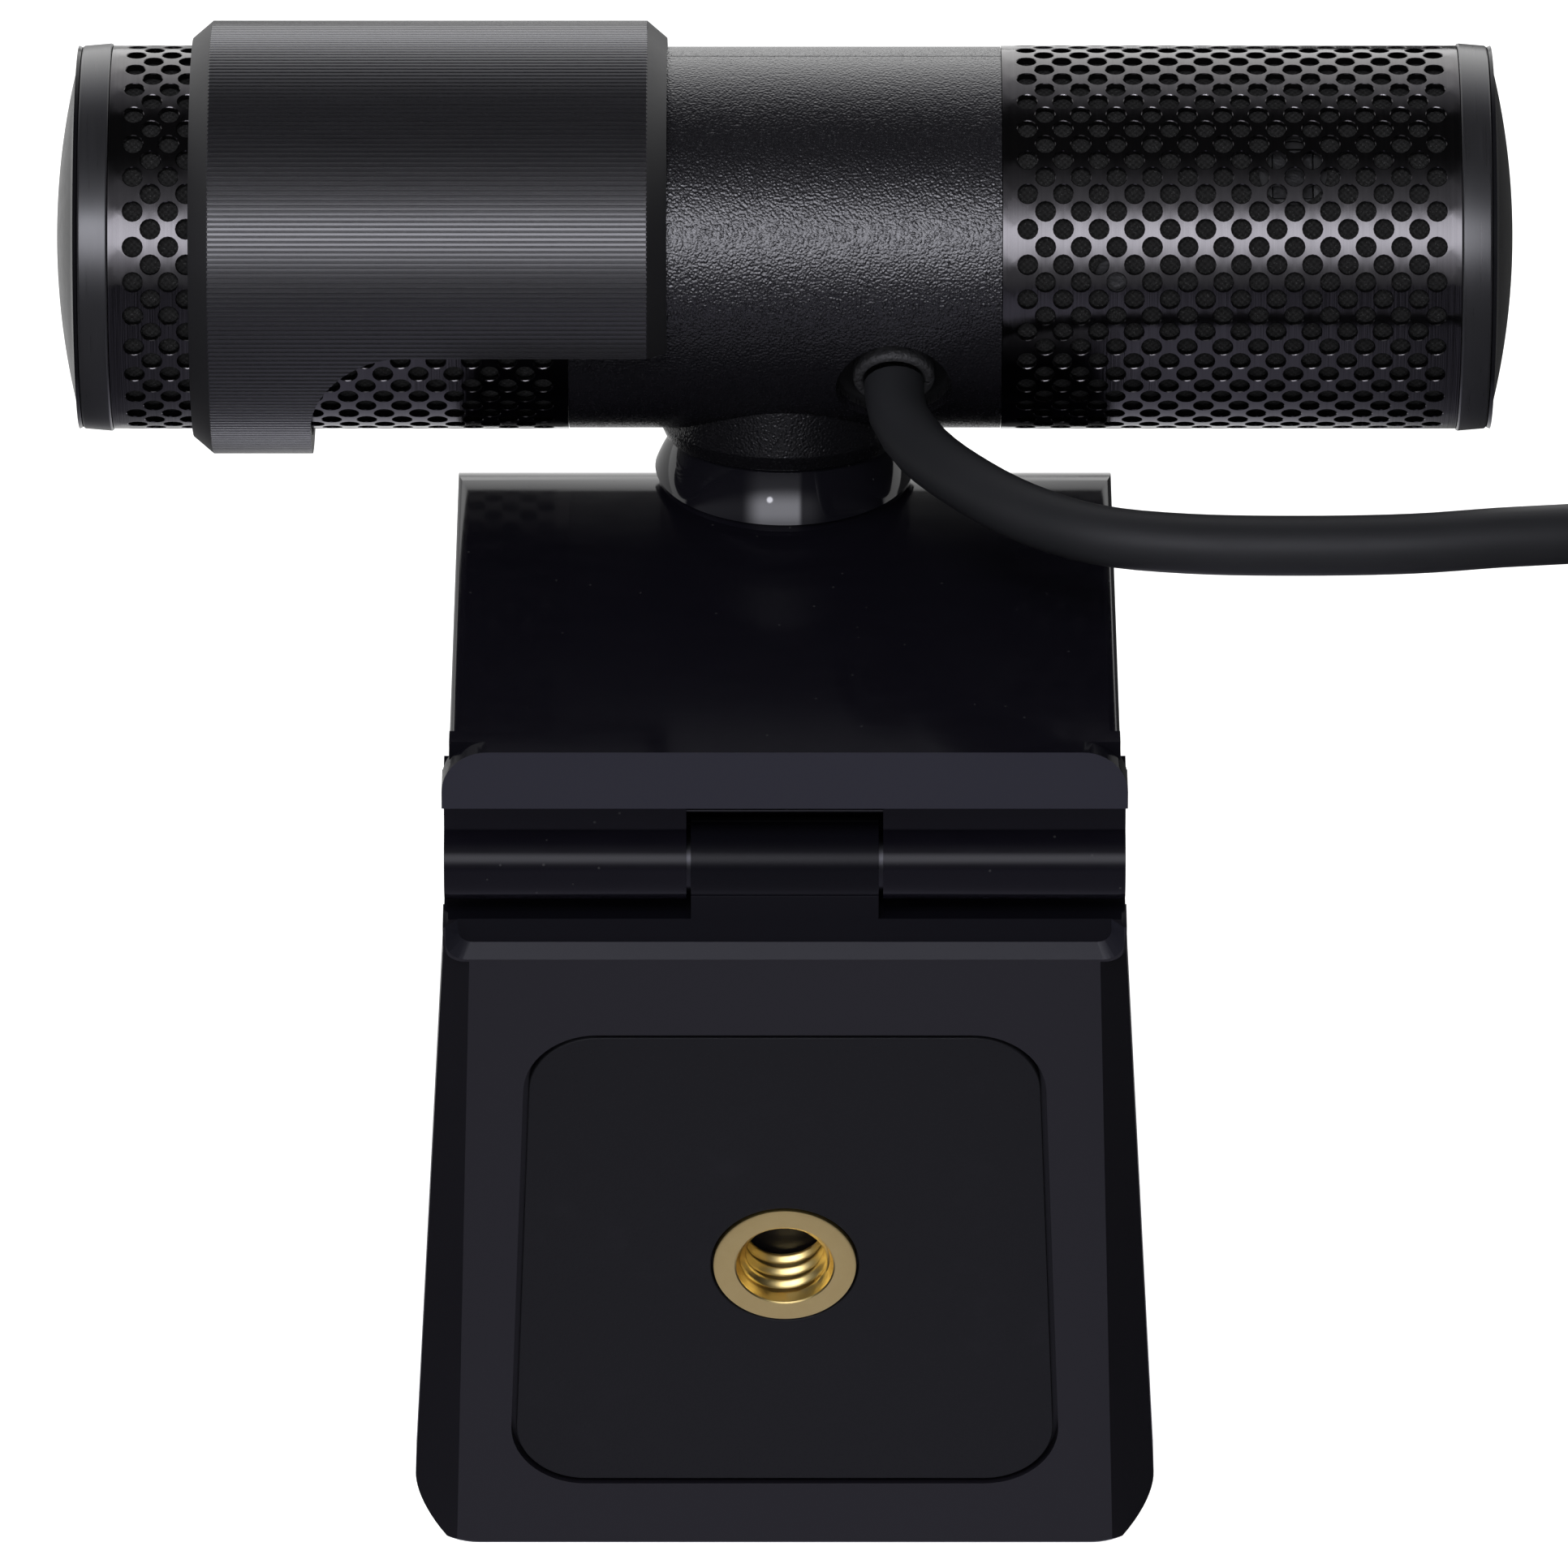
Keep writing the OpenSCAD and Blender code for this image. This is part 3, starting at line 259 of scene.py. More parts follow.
def sweep(name, points, radius, sides):
    """A closed tube along the points, with UVs in metres: round it, and along it."""
    bm = bmesh.new()
    uv = bm.loops.layers.uv.new("along")
    tangents = [(points[min(i + 1, len(points) - 1)] - points[max(i - 1, 0)]).normalized()
                for i in range(len(points))]
    side = tangents[0].orthogonal().normalized()
    rings, run, at = [], 0.0, []
    for i, (point, tangent) in enumerate(zip(points, tangents)):
        if i:
            run += (point - points[i - 1]).length
            side = tangents[i - 1].rotation_difference(tangent) @ side
        side = (side - tangent * side.dot(tangent)).normalized()
        other = tangent.cross(side)
        rings.append([bm.verts.new(point + radius * (math.cos(a) * side + math.sin(a) * other))
                      for a in turns(sides)])
        at.append(run)
    for index, face in enumerate(skin(bm, rings)):
        i, k = divmod(index, sides)
        for loop, (u, v) in zip(face.loops, ((0, 0), (1, 0), (1, 1), (0, 1))):
            loop[uv].uv = ((k + u) / sides * math.tau * radius, at[i + v])
    close_ends(bm, rings)
    return from_bmesh(name, bm, 50.0)


route = [p * MM for p in spline(route_mm, 1.6)]
cable = sweep("cable", route, CABLE_D / 2, 18)
print("cable:", len(cable.data.polygons), "faces,", round(curved_length(route), 3), "m long")

# %% [markdown]
# ## Stage and light
# The product stands before a white studio sweep. The floor is pale and keeps the shadow, and
# the background shows white to the camera and to reflections. The object is almost black, so
# it is drawn by what it mirrors: a soft lamp behind the camera gives the bright band along the
# middle of the tube, the white sweep beyond the object lights its upper rim, and the dark gap
# between the two gives the deep bands. Diffuse light comes evenly from the whole room.

# %% Floor
FLOOR_Z = cad_box[0][2] - 0.4 * MM
floor_mesh = bpy.data.meshes.new("floor")
floor_mesh.from_pydata([(-3, -3, FLOOR_Z), (3, -3, FLOOR_Z), (3, 3, FLOOR_Z), (-3, 3, FLOOR_Z)],
                       [], [(0, 1, 2, 3)])
floor = new_object("floor", floor_mesh)
print("floor at", round(FLOOR_Z / MM, 1), "mm")

# %% [markdown]
# ## A small language for materials
# Shader maths reads best as ordinary expressions. `Wire` wraps one output socket, and each
# operator on it adds a Math node. `Paint` is a node tree with one method that adds any other
# node: its type, its settings, and the values or wires of its sockets.

# %% Wire and Paint
class Wire:
    def __init__(self, paint, socket):
        self.paint, self.socket = paint, socket

    def math(self, operation, other=None, flipped=False):
        pair = (other, self) if flipped else (self, other)
        values = {i: v for i, v in enumerate(pair) if v is not None}
        return self.paint.node("ShaderNodeMath", {"operation": operation}, values)

    def __add__(self, other): return self.math("ADD", other)
    def __radd__(self, other): return self.math("ADD", other, flipped=True)
    def __sub__(self, other): return self.math("SUBTRACT", other)
    def __rsub__(self, other): return self.math("SUBTRACT", other, flipped=True)
    def __mul__(self, other): return self.math("MULTIPLY", other)
    def __rmul__(self, other): return self.math("MULTIPLY", other, flipped=True)
    def __truediv__(self, other): return self.math("DIVIDE", other)
    def __gt__(self, other): return self.math("GREATER_THAN", other)
    def __lt__(self, other): return self.math("LESS_THAN", other)
    def __abs__(self): return self.math("ABSOLUTE")
    def sin(self): return self.math("SINE")
    def sqrt(self): return self.math("SQRT")

    def ramp(self, low, high):
        """0 below low, 1 above high, smooth between."""
        return self.paint.node("ShaderNodeMapRange", {"interpolation_type": "SMOOTHSTEP"},
                               {"Value": self, "From Min": low, "From Max": high})


class Paint:
    def __init__(self, tree):
        self.tree = tree
        tree.nodes.clear()

    def node(self, kind, settings=None, inputs=None, out=0):
        made = self.tree.nodes.new(kind)
        for key, value in (settings or {}).items():
            setattr(made, key, value)
        for key, value in (inputs or {}).items():
            if isinstance(value, Wire):
                self.tree.links.new(value.socket, made.inputs[key])
            else:
                made.inputs[key].default_value = value
        return Wire(self, made.outputs[out]) if made.outputs else None

    def mix(self, share, a, b):
        """A colour between a and b."""
        a, b = ((*c, 1.0) if isinstance(c, tuple) and len(c) == 3 else c for c in (a, b))
        return self.node("ShaderNodeMix", {"data_type": "RGBA"}, {0: share, 6: a, 7: b}, 2)

    def noise(self, place, scale, detail=2.0, roughness=0.5):
        return self.node("ShaderNodeTexNoise", {}, {
            "Vector": place, "Scale": scale, "Detail": detail, "Roughness": roughness})

    def cells(self, place, scale):
        return self.node("ShaderNodeTexVoronoi", {"feature": "F1"}, {
            "Vector": place, "Scale": scale, "Randomness": 1.0}, "Distance")

    def scaled(self, place, by):
        return self.node("ShaderNodeVectorMath", {"operation": "MULTIPLY"}, {0: place, 1: by})

    def axes(self, place):
        split = self.node("ShaderNodeSeparateXYZ", {}, {0: place})
        return [Wire(self, s) for s in split.socket.node.outputs]

    def joined(self, x, y, z):
        return self.node("ShaderNodeCombineXYZ", {}, {0: x, 1: y, 2: z})

    def bump(self, height, distance, strength):
        """A bump of a distance in mm."""
        return self.node("ShaderNodeBump", {}, {
            "Height": height, "Distance": distance * MM, "Strength": strength})

    def is_ray(self, *kinds):
        """One wire per kind of ray, 1 where such a ray looks."""
        sockets = self.node("ShaderNodeLightPath").socket.node.outputs
        return [Wire(self, sockets[f"Is {kind} Ray"]) for kind in kinds]


print("Wire and Paint are ready")

# %% [markdown]
# The room is one world shader. The camera sees white. A mirror-like ray sees a room with a tall
# soft lamp behind the camera, a small bright spot that the dome shows, dark air above them and
# to the sides, and the white sweep from overhead down to the front. All other rays see one even
# grey-white, so a colour renders about as it is written.

# %% World
DARK_AIR, LAMP_CORE, LAMP_HALO, SPOT, SWEEP, EVEN_LIGHT = 0.02, 3.9, 0.5, 14, 1.6, 0.8
SPOT_WAY = (-0.213, -0.793, 0.570)
world = bpy.data.worlds.new("studio")
scene.world = world
world.use_nodes = True
sky = Paint(world.node_tree)
is_camera, is_glossy, is_through = sky.is_ray("Camera", "Glossy", "Transmission")
way = sky.node("ShaderNodeTexCoord", out="Generated")
way_x, way_y, way_z = sky.axes(way)
# degrees from the horizon at the camera's side, up and over the top
turn_over = sky.node("ShaderNodeMath", {"operation": "ARCTAN2"}, {0: way_z, 1: -1 * way_y})
turn_over = (turn_over + (turn_over < -1.6) * math.tau) * (180 / math.pi)
lamp_core = turn_over.ramp(6.0, 26.0) * (1 - turn_over.ramp(30.0, 47.0))
lamp_halo = turn_over.ramp(-22.0, 24.0) * (1 - turn_over.ramp(38.0, 76.0))
sweep_band = turn_over.ramp(104.0, 158.0) * (1 - turn_over.ramp(222.0, 240.0))
spot_way = sky.node("ShaderNodeVectorMath", {"operation": "DOT_PRODUCT"}, {
    0: way, 1: SPOT_WAY}, "Value")
spot = spot_way.ramp(math.cos(math.radians(3.4)), math.cos(math.radians(2.4)))
to_side = abs(way_x).ramp(0.3, 0.6)
from_camera_side = DARK_AIR + LAMP_CORE * lamp_core + LAMP_HALO * lamp_halo + SPOT * spot
seen_in_gloss = (from_camera_side * (1 - 0.95 * to_side) * (1 - 0.9 * way_x.ramp(0.18, 0.26))
                 + SWEEP * sweep_band * (1 - 0.4 * to_side))
cool = sky.mix(is_glossy * (1 - sweep_band), (1.0, 1.0, 1.0), (0.91, 0.91, 1.0))
mirrored = is_glossy + is_through * (1 - is_glossy)
strength = is_camera + (1 - is_camera) * (mirrored * seen_in_gloss + (1 - mirrored) * EVEN_LIGHT)
room = sky.node("ShaderNodeBackground", {}, {"Color": cool, "Strength": strength})
sky.node("ShaderNodeOutputWorld", {}, {"Surface": room})
print("world: even light", EVEN_LIGHT)

# %% Floor material
floor_material = bpy.data.materials.new("studio_floor")
floor_material.use_nodes = True
paint = Paint(floor_material.node_tree)
is_camera, is_glossy = paint.is_ray("Camera", "Glossy")
on_floor = paint.node("ShaderNodeTexCoord", out="Object")
across, away, _ = paint.axes(on_floor)
mottle = paint.mix(paint.noise(on_floor, 300.0), (0.9, 0.9, 0.9), (0.93, 0.93, 0.93))
matt = paint.node("ShaderNodeBsdfDiffuse", {}, {"Color": mottle})
glow = paint.node("ShaderNodeEmission", {}, {"Color": (1, 1, 1, 1), "Strength": 0.35})
white = paint.node("ShaderNodeAddShader", {}, {0: matt, 1: glow})
# For mirror rays the floor glows instead of being lit, as a painted reflection: dimmer near the
# camera and darker to the left and right of the clip.
beyond = away.ramp(-0.02, 0.15)
beside = abs(across).ramp(0.034, 0.056) * (1 - 0.5 * (across < 0.0) * away.ramp(0.05, 0.15))
in_mirror = (0.4 + 0.6 * beyond) * (1 - 0.94 * beside)
mirrored_floor = paint.node("ShaderNodeEmission", {}, {
    "Color": paint.mix(beyond, (0.8, 0.78, 1.0), (1.0, 1.0, 1.0)), "Strength": in_mirror})
unseen = paint.node("ShaderNodeMixShader", {}, {0: is_glossy, 1: matt, 2: mirrored_floor})
seen = paint.node("ShaderNodeMixShader", {}, {0: is_camera, 1: unseen, 2: white})
paint.node("ShaderNodeOutputMaterial", {}, {"Surface": seen})
floor.data.materials.append(floor_material)
print("the floor is white to the camera and dim in mirrors")

# %% [markdown]
# Two area lamps add direction to the even light: a long one over the camera for soft form
# shadows, and a weaker one low at the left that separates the edges of the black clip.

# %% Lamps
def lamp(name, place, width, height, watts):
    data = bpy.data.lights.new(name, "AREA")
    data.shape, data.size, data.size_y, data.energy = "RECTANGLE", width, height, watts
    made = new_object(name, data)
    made.location = place
    made.rotation_euler = (Vector(place) - AIM).to_track_quat("Z", "Y").to_euler()
    made.visible_glossy = False
    return made


lamp("key_lamp", (-0.15, -0.9, 1.0), 0.7, 0.4, 9.0)
lamp("side_lamp", (-0.9, -0.35, 0.25), 0.3, 0.5, 3.0)

# %% [markdown]
# ## Finishes
# Each finish is a function that returns a material. Nearly all work in millimetres: the object
# coordinate is scaled once, or, for a finish that runs along or round the tube, it is turned
# into the head's own frame by a Mapping node of the Texture type, which applies the inverse.
# Only colour, roughness and the bump change over a surface. Other values stay on the socket.
# `toned` makes a colour drift between a darker and a lighter one.

# %% Finish
SKIN_R = 12.9


class Finish(Paint):
    def __init__(self, name):
        self.material = bpy.data.materials.new(name)
        self.material.use_nodes = True
        super().__init__(self.material.node_tree)
        self.raw = self.node("ShaderNodeTexCoord", out="Object")
        self.place = self.scaled(self.raw, (1000, 1000, 1000))

    def in_frame(self, matrix):
        """The place in the head's or the leg's frame, in mm."""
        return self.node("ShaderNodeMapping", {"vector_type": "TEXTURE"}, {
            "Vector": self.raw, "Location": matrix.translation, "Rotation": matrix.to_euler(),
            "Scale": (MM, MM, MM)})

    def round_tube(self):
        """Coordinates on the tube: mm along it, mm round it, and mm from the axis."""
        x, y, z = self.axes(self.in_frame(HEAD))
        angle = self.node("ShaderNodeMath", {"operation": "ARCTAN2"}, {0: z, 1: -1 * y})
        return x, angle * SKIN_R, (y * y + z * z).sqrt()

    def toned(self, share, colour, dark, light):
        """The colour times a factor that goes from dark to light by the share."""
        return self.mix(share, *(tuple(by * c for c in colour) for by in (dark, light)))

    def shade(self, colour, roughness, normal=None, metallic=0.0, **fixed):
        inputs = {"Base Color": colour, "Roughness": roughness, "Metallic": metallic}
        if isinstance(colour, tuple):
            inputs["Base Color"] = (*colour, 1.0)
        if normal is not None:
            inputs["Normal"] = normal
        inputs.update({key.replace("_", " "): value for key, value in fixed.items()})
        shader = self.node("ShaderNodeBsdfPrincipled", {}, inputs)
        self.node("ShaderNodeOutputMaterial", {}, {"Surface": shader})
        print("finish:", self.material.name)
        return self.material


# %% [markdown]
# Polished black plastic comes from a polished steel mould. It is almost a mirror, so what shows
# is the very slight waviness of the moulding, a haze of wiping marks, and sparse dust specks.

# %% Polished black
def polished_black(name, colour=(0.0032, 0.0031, 0.0046), haze=0.05, mirror=0.5):
    f = Finish(name)
    wiping = f.noise(f.scaled(f.place, (0.35, 0.9, 0.9)), 0.9, 4.0, 0.6)
    dust = f.cells(f.place, 0.55)
    speck = 1 - dust.ramp(0.035, 0.06)
    tone = f.mix(speck * 0.5, f.toned(wiping, colour, 1, 1.35), (0.03, 0.03, 0.032))
    waves = f.bump(f.noise(f.place, 0.22, 1.0), 0.004, 0.5)
    return f.shade(tone, haze * 0.6 + haze * wiping + speck * 0.12, waves,
                   Specular_IOR_Level=mirror)


# %% [markdown]
# The leg and its cover are moulded in a satin black. A spark-eroded mould leaves a fine even
# grain. Handling polishes the high places a little, so the roughness drifts over centimetres.

# %% Satin black
def satin_black(name, colour=(0.0048, 0.0044, 0.0066), rough=0.34, grain=0.006, size=7.0,
                gloss=0.5):
    f = Finish(name)
    drift = f.noise(f.place, 0.06, 3.0)
    fine = f.noise(f.place, size, 2.0, 0.6)
    tone = f.toned(drift * 0.6 + fine * 0.4, colour, 0.85, 1.2)
    return f.shade(tone, rough - 0.05 + 0.07 * drift + 0.05 * fine,
                   f.bump(fine, grain, 0.6), Specular_IOR_Level=gloss)


# %% [markdown]
# Rubber pads have an open, dull skin: pits a third of a millimetre apart, a few pale rubbed
# places, and little mirror light.

# %% Rubber
def rubber(name, colour):
    f = Finish(name)
    grain = f.noise(f.place, 4.5, 3.0, 0.65)
    pits = f.cells(f.place, 3.2).ramp(0.05, 0.4)
    rubbed = f.noise(f.place, 0.12, 4.0, 0.7).ramp(0.55, 0.8)
    tone = f.mix(rubbed * 0.35, f.toned(grain, colour, 0.8, 1), tuple(1.7 * c for c in colour))
    height = grain * 0.5 + pits * 0.5
    return f.shade(tone, 0.58 + 0.12 * grain - 0.06 * rubbed, f.bump(height, 0.02, 0.5),
                   Specular_IOR_Level=0.4)


# %% [markdown]
# The middle shell and the neck are painted. The paint carries a leathery grain: rounded cells
# a fifth of a millimetre wide with soft valleys, so each one catches the lamp at its own angle.

# %% Leather-grained paint
def grained_paint(name, colour=(0.0052, 0.005, 0.0066), gloss=1.0, grain=0.72):
    f = Finish(name)
    warp = f.noise(f.place, 1.3, 2.0)
    cells = f.cells(f.place, 5.2)
    fine = f.noise(f.place, 6.4, 0.0, 0.5)
    height = cells * -0.8 + fine + warp * 0.05
    tone = f.toned(fine, colour, 0.7, 1.3)
    return f.shade(tone, 0.2 + 0.1 * fine, f.bump(height, 0.045, grain),
                   Specular_IOR_Level=gloss)


# %% [markdown]
# Anodised aluminium keeps the marks of its making. The sleeve was milled in fine ribs along the
# tube: the ribs are real geometry, and the finish adds short drag lines in the same direction
# and makes the grooves rougher. It also paints shade into the grooves as a darker colour. The
# trim rings, turned in a lathe, have their lines round the tube.

# %% Anodised sleeve
RIB_FOOT_R, RIB_TOP_R = 14.525, 14.57


def anodised(name, colour, along=True, rough=0.24, ribbed=1.0):
    f = Finish(name)
    x, around, radius = f.round_tube()
    drag = f.noise(f.joined(x * (0.15 if along else 6.0), around * (6.0 if along else 0.15),
                            radius * 2.0), 1.0, 4.0, 0.6)
    cloudy = f.noise(f.place, 0.1, 3.0)
    # The groove mask makes the grooves rougher and paints shade into them as a darker colour.
    shaded_groove = ribbed * (1 - radius.ramp(RIB_FOOT_R, RIB_TOP_R))
    tone = f.toned(drag * 0.7 + cloudy * 0.3 - shaded_groove * 0.5, colour, 0.55, 1.45)
    return f.shade(tone, rough - 0.06 + 0.1 * drag + 0.26 * shaded_groove, f.bump(drag, 0.004, 0.5),
                   Specular_IOR_Level=1.0)


# %% [markdown]
# The grille is thin steel, brushed round the tube while it turned on a mandrel, then plated
# black. A brush line is long round the tube and very narrow along it, so the lamp's reflection
# stays sharp round the tube and smears along it. The noise is stretched in the same way.

# %% Brushed black nickel
def brushed_round(name, colour, rough):
    f = Finish(name)
    x, around, radius = f.round_tube()
    lines = f.noise(f.joined(x * 9.0, around * 0.05, radius * 0.5), 1.0, 3.0, 0.7)
    broad = f.noise(f.joined(x * 1.1, around * 0.03, radius * 0.2), 1.0, 2.0, 0.5)
    worn = f.noise(f.place, 0.35, 4.0, 0.7).ramp(0.6, 0.85)
    tone = f.toned(lines * 0.6 + broad * 0.4, colour, 0.62, 1.25)
    return f.shade(tone, rough - 0.05 + 0.1 * lines + 0.08 * worn,
                   f.bump(lines * 0.7 + broad * 0.3, 0.012, 0.6), metallic=1.0)


# %% [markdown]
# Acoustic cloth sits right behind the holes. It is a plain weave of dark grey yarn, four yarns
# to the millimetre, with the odd pale fibre. The weave follows the tube, so it is drawn in the
# coordinates round it: one yarn direction is high where the other dips.

# %% Acoustic cloth
def acoustic_cloth(name):
    f = Finish(name)
    x, around, radius = f.round_tube()
    fuzz = f.noise(f.place, 5.0, 3.0, 0.7)
    warp = (x * (math.tau * 2.2) + fuzz * 1.5).sin()
    weft = (around * (math.tau * 2.2) + fuzz * 1.5).sin()
    weave = warp * weft * 0.5 + 0.5
    fibre = f.noise(f.place, 11.0, 1.0).ramp(0.6, 0.78)
    tone = f.mix(fibre * 0.7, f.mix(weave * 0.6 + fuzz * 0.4, (0.004, 0.004, 0.004),
                                    (0.018, 0.018, 0.019)), (0.06, 0.06, 0.062))
    return f.shade(tone, 0.8 + 0.1 * fuzz, f.bump(weave * 0.6 + fuzz * 0.6, 0.06, 0.9),
                   Specular_IOR_Level=0.1)


# %% [markdown]
# Turned metal shows rings round its own axis: the brass insert, the screws and the pins. The
# rings are a noise of the radius alone, taken in the frame of the part.

# %% Turned metal
def turned_metal(name, colour, matrix, rough, axis, tarnish):
    f = Finish(name)
    split = dict(zip("xyz", f.axes(f.in_frame(matrix))))
    long = split.pop(axis)
    a, b = split.values()
    radius = (a * a + b * b).sqrt()
    rings = f.noise(f.joined(radius * 14.0, long * 14.0, 0.0), 1.0, 2.0, 0.6)
    stain = f.noise(f.place, 0.9, 4.0, 0.65)
    tone = f.mix(stain * 0.4 + rings * 0.2, colour,
                 tuple(c * t for c, t in zip(colour, tarnish)))
    return f.shade(tone, rough - 0.04 + 0.1 * rings + 0.08 * stain,
                   f.bump(rings, 0.006, 0.4), metallic=1.0)


# %% [markdown]
# The cable's jacket is a matt elastomer. Extrusion leaves faint lines along it, so its noise
# runs in the swept tube's UV map: fine round the cable and slow along it.

# %% Cable jacket
def cable_jacket(name, colour):
    f = Finish(name)
    u, v, _ = f.axes(f.node("ShaderNodeUVMap", {"uv_map": "along"}))
    lines = f.noise(f.joined(u * 5200, v * 160, 0.0), 1.0, 2.0)
    grain = f.noise(f.place, 7.0, 2.0, 0.6)
    dull = f.noise(f.place, 0.25, 3.0)
    tone = f.toned(grain * 0.5 + dull * 0.5, colour, 0.75, 1.3)
    return f.shade(tone, 0.5 + 0.1 * dull, f.bump(lines * 0.5 + grain * 0.5, 0.012, 0.5),
                   Specular_IOR_Level=0.4)


# %% [markdown]
# Glass is drawn with transmission. The film on a lens looks faintly violet and green, here as
# two tints that drift over the surface.

# %% Glass
def coated_glass(name, tint_a, tint_b, rough, through):
    f = Finish(name)
    drift = f.noise(f.place, 0.25, 2.0)
    wiping = f.noise(f.place, 1.4, 3.0)
    return f.shade(f.mix(drift, tint_a, tint_b), rough + 0.03 * wiping,
                   f.bump(wiping, 0.001, 0.3), Transmission_Weight=through, IOR=1.52)


# %% [markdown]
# Circuit boards: green solder mask over copper, seen as slightly raised tracks on a grid.

# %% Board
def solder_mask(name):
    f = Finish(name)
    x, _, z = f.axes(f.in_frame(HEAD))
    tracks = (x * 1.1 + f.noise(f.place, 0.4, 0.0) * 4.0).sin() > 0.55
    rows = (z * 2.6).sin() > 0.8
    copper = tracks.math("MAXIMUM", rows)
    fibre = f.noise(f.place, 3.0, 3.0)
    tone = f.mix(copper * 0.6 + fibre * 0.2, (0.006, 0.07, 0.02), (0.02, 0.17, 0.05))
    return f.shade(tone, 0.3 + 0.15 * fibre, f.bump(copper, 0.03, 0.5))


# %% Make the finishes
piano_black = polished_black("piano_black")
cap_black = polished_black("cap_black", (0.004, 0.004, 0.005), 0.16, 0.12)
plate_black = polished_black("plate_black", (0.0026, 0.0024, 0.004), 0.12, 0.16)
clip_black = satin_black("clip_black")
# The next three finishes are copies of the clip's black with painted light and shade: lighter ones
# for the flange's face and the rim, and a darker one for the bay.
flange_black = satin_black("flange_black", (0.0105, 0.0105, 0.0172), 0.3)
rim_black = satin_black("rim_black", (0.0075, 0.0075, 0.0115), 0.34, gloss=0.2)
bay_black = satin_black("bay_black", (0.0026, 0.0025, 0.004), 0.2, 0.004, 5.0, 0.1)
cover_black = satin_black("cover_black", (0.012, 0.012, 0.013), 0.45, 0.012, 5.0)
neck_black = grained_paint("neck_black", (0.0036, 0.0035, 0.0044), 0.45, 0.8)
chassis_black = satin_black("chassis_black", (0.014, 0.014, 0.015), 0.5, 0.02, 4.0)
grommet_black = satin_black("grommet_black", (0.009, 0.009, 0.01), 0.5, 0.12, 2.2)
grommet_grey = satin_black("grommet_grey", (0.026, 0.026, 0.029), 0.55, 0.35, 2.4)
pad_rubber = rubber("pad_rubber", (0.0038, 0.0038, 0.0056))
head_black = grained_paint("head_black")
sleeve_black = anodised("sleeve_black", (0.009, 0.0088, 0.0108))
trim_black = anodised("satin_trim", (0.012, 0.012, 0.014), False, 0.3, 0.0)
grille_metal = brushed_round("grille_metal", (0.112, 0.108, 0.11), 0.13)
cloth_black = acoustic_cloth("cloth_black")
felt_black = rubber("felt_black", (0.008, 0.008, 0.008))
cable_black = cable_jacket("cable_black", (0.0082, 0.0085, 0.0102))
plug_black = satin_black("plug_black", (0.013, 0.013, 0.0135), 0.45, 0.02, 4.0)
lens_coating = coated_glass("lens_glass", (0.55, 0.45, 0.75), (0.45, 0.7, 0.6), 0.02, 0.85)
window_black = coated_glass("window_black", (0.10, 0.10, 0.12), (0.13, 0.12, 0.15), 0.03, 0.7)
board_green = solder_mask("board_green")
INSERT_DOWN = 33.18 * MM
INSERT = LEG @ Matrix.Translation((0, 0, -INSERT_DOWN))
brass = turned_metal("brass", (1.0, 0.8, 0.34), INSERT, 0.26, "y", (0.8, 0.72, 0.6))
steel = turned_metal("steel", (0.55, 0.55, 0.56), HEAD, 0.28, "x", (0.7, 0.7, 0.72))
dark_steel = turned_metal("dark_steel", (0.06, 0.06, 0.065), HEAD, 0.3, "x", (0.7, 0.7, 0.7))
plug_steel = satin_black("plug_steel", (0.55, 0.55, 0.56), 0.28, 0.004, 2.0)
white_plastic = satin_black("white_plastic", (0.72, 0.72, 0.7), 0.45, 0.01, 3.0)
print(len(bpy.data.materials), "materials")

# %% [markdown]
# ## Shapes
# Most of the head is turned about one axis, so the first tool is a lathe. It takes a profile as
# (place along the axis, radius) in mm, rounds each corner by its own fillet, and spins it. A
# profile that touches the axis closes in a pole. `place` puts the axis where it belongs.

# %% Lathe
def filleted(corners, steps=4):
    """A closed outline from (a, b, fillet) corners, with an arc in each corner."""
    outline = []
    for i, (a, b, fillet) in enumerate(corners):
        here = Vector((a, b))
        if fillet <= 0:
            outline.append(here)
            continue
        before = Vector(corners[i - 1][:2]) - here
        after = Vector(corners[(i + 1) % len(corners)][:2]) - here
        half = before.angle(after) / 2
        back = min(fillet / math.tan(half), before.length * 0.49, after.length * 0.49)
        radius = back * math.tan(half)
        start, end = here + before.normalized() * back, here + after.normalized() * back
        centre = here + (before.normalized() + after.normalized()).normalized() * (
            radius / math.sin(half))
        sweep_angle = (start - centre).angle_signed(end - centre)
        for k in range(steps + 1):
            turned = Matrix.Rotation(-sweep_angle * k / steps, 2) @ (start - centre)
            outline.append(centre + turned)
    return outline


def turned_rings(bm, outline, place, segments):
    """Rings of vertices round X for (along, radius) points in mm; on the axis, one vertex."""
    return [[bm.verts.new(place @ Vector((along * MM, radius * MM * math.cos(a),
                                          radius * MM * math.sin(a))))
             for a in turns(segments if radius > 1e-4 else 1)] for along, radius in outline]


TO_AXIS = {"X": Matrix(), "Y": Matrix.Rotation(math.pi / 2, 4, "Z"),
           "Z": Matrix.Rotation(-math.pi / 2, 4, "Y")}


def lathe(name, outline, place=HEAD, segments=160, axis="X"):
    bm = bmesh.new()
    skin(bm, turned_rings(bm, outline, place @ TO_AXIS[axis], segments), wrap=True)
    return from_bmesh(name, bm)


def rod(name, radius, x0, x1, **more):
    return lathe(name, [(x0, 0), (x0, radius), (x1, radius), (x1, 0)], **more)


print("lathe ready")

# %% [markdown]
# Openings are cut by the exact boolean solver with plain cutters, because a real opening is
# milled or cored in the same way. After a cut, a narrow bevel breaks the new sharp edges: real
# edges are never perfectly sharp, and the bevel is what catches the light.

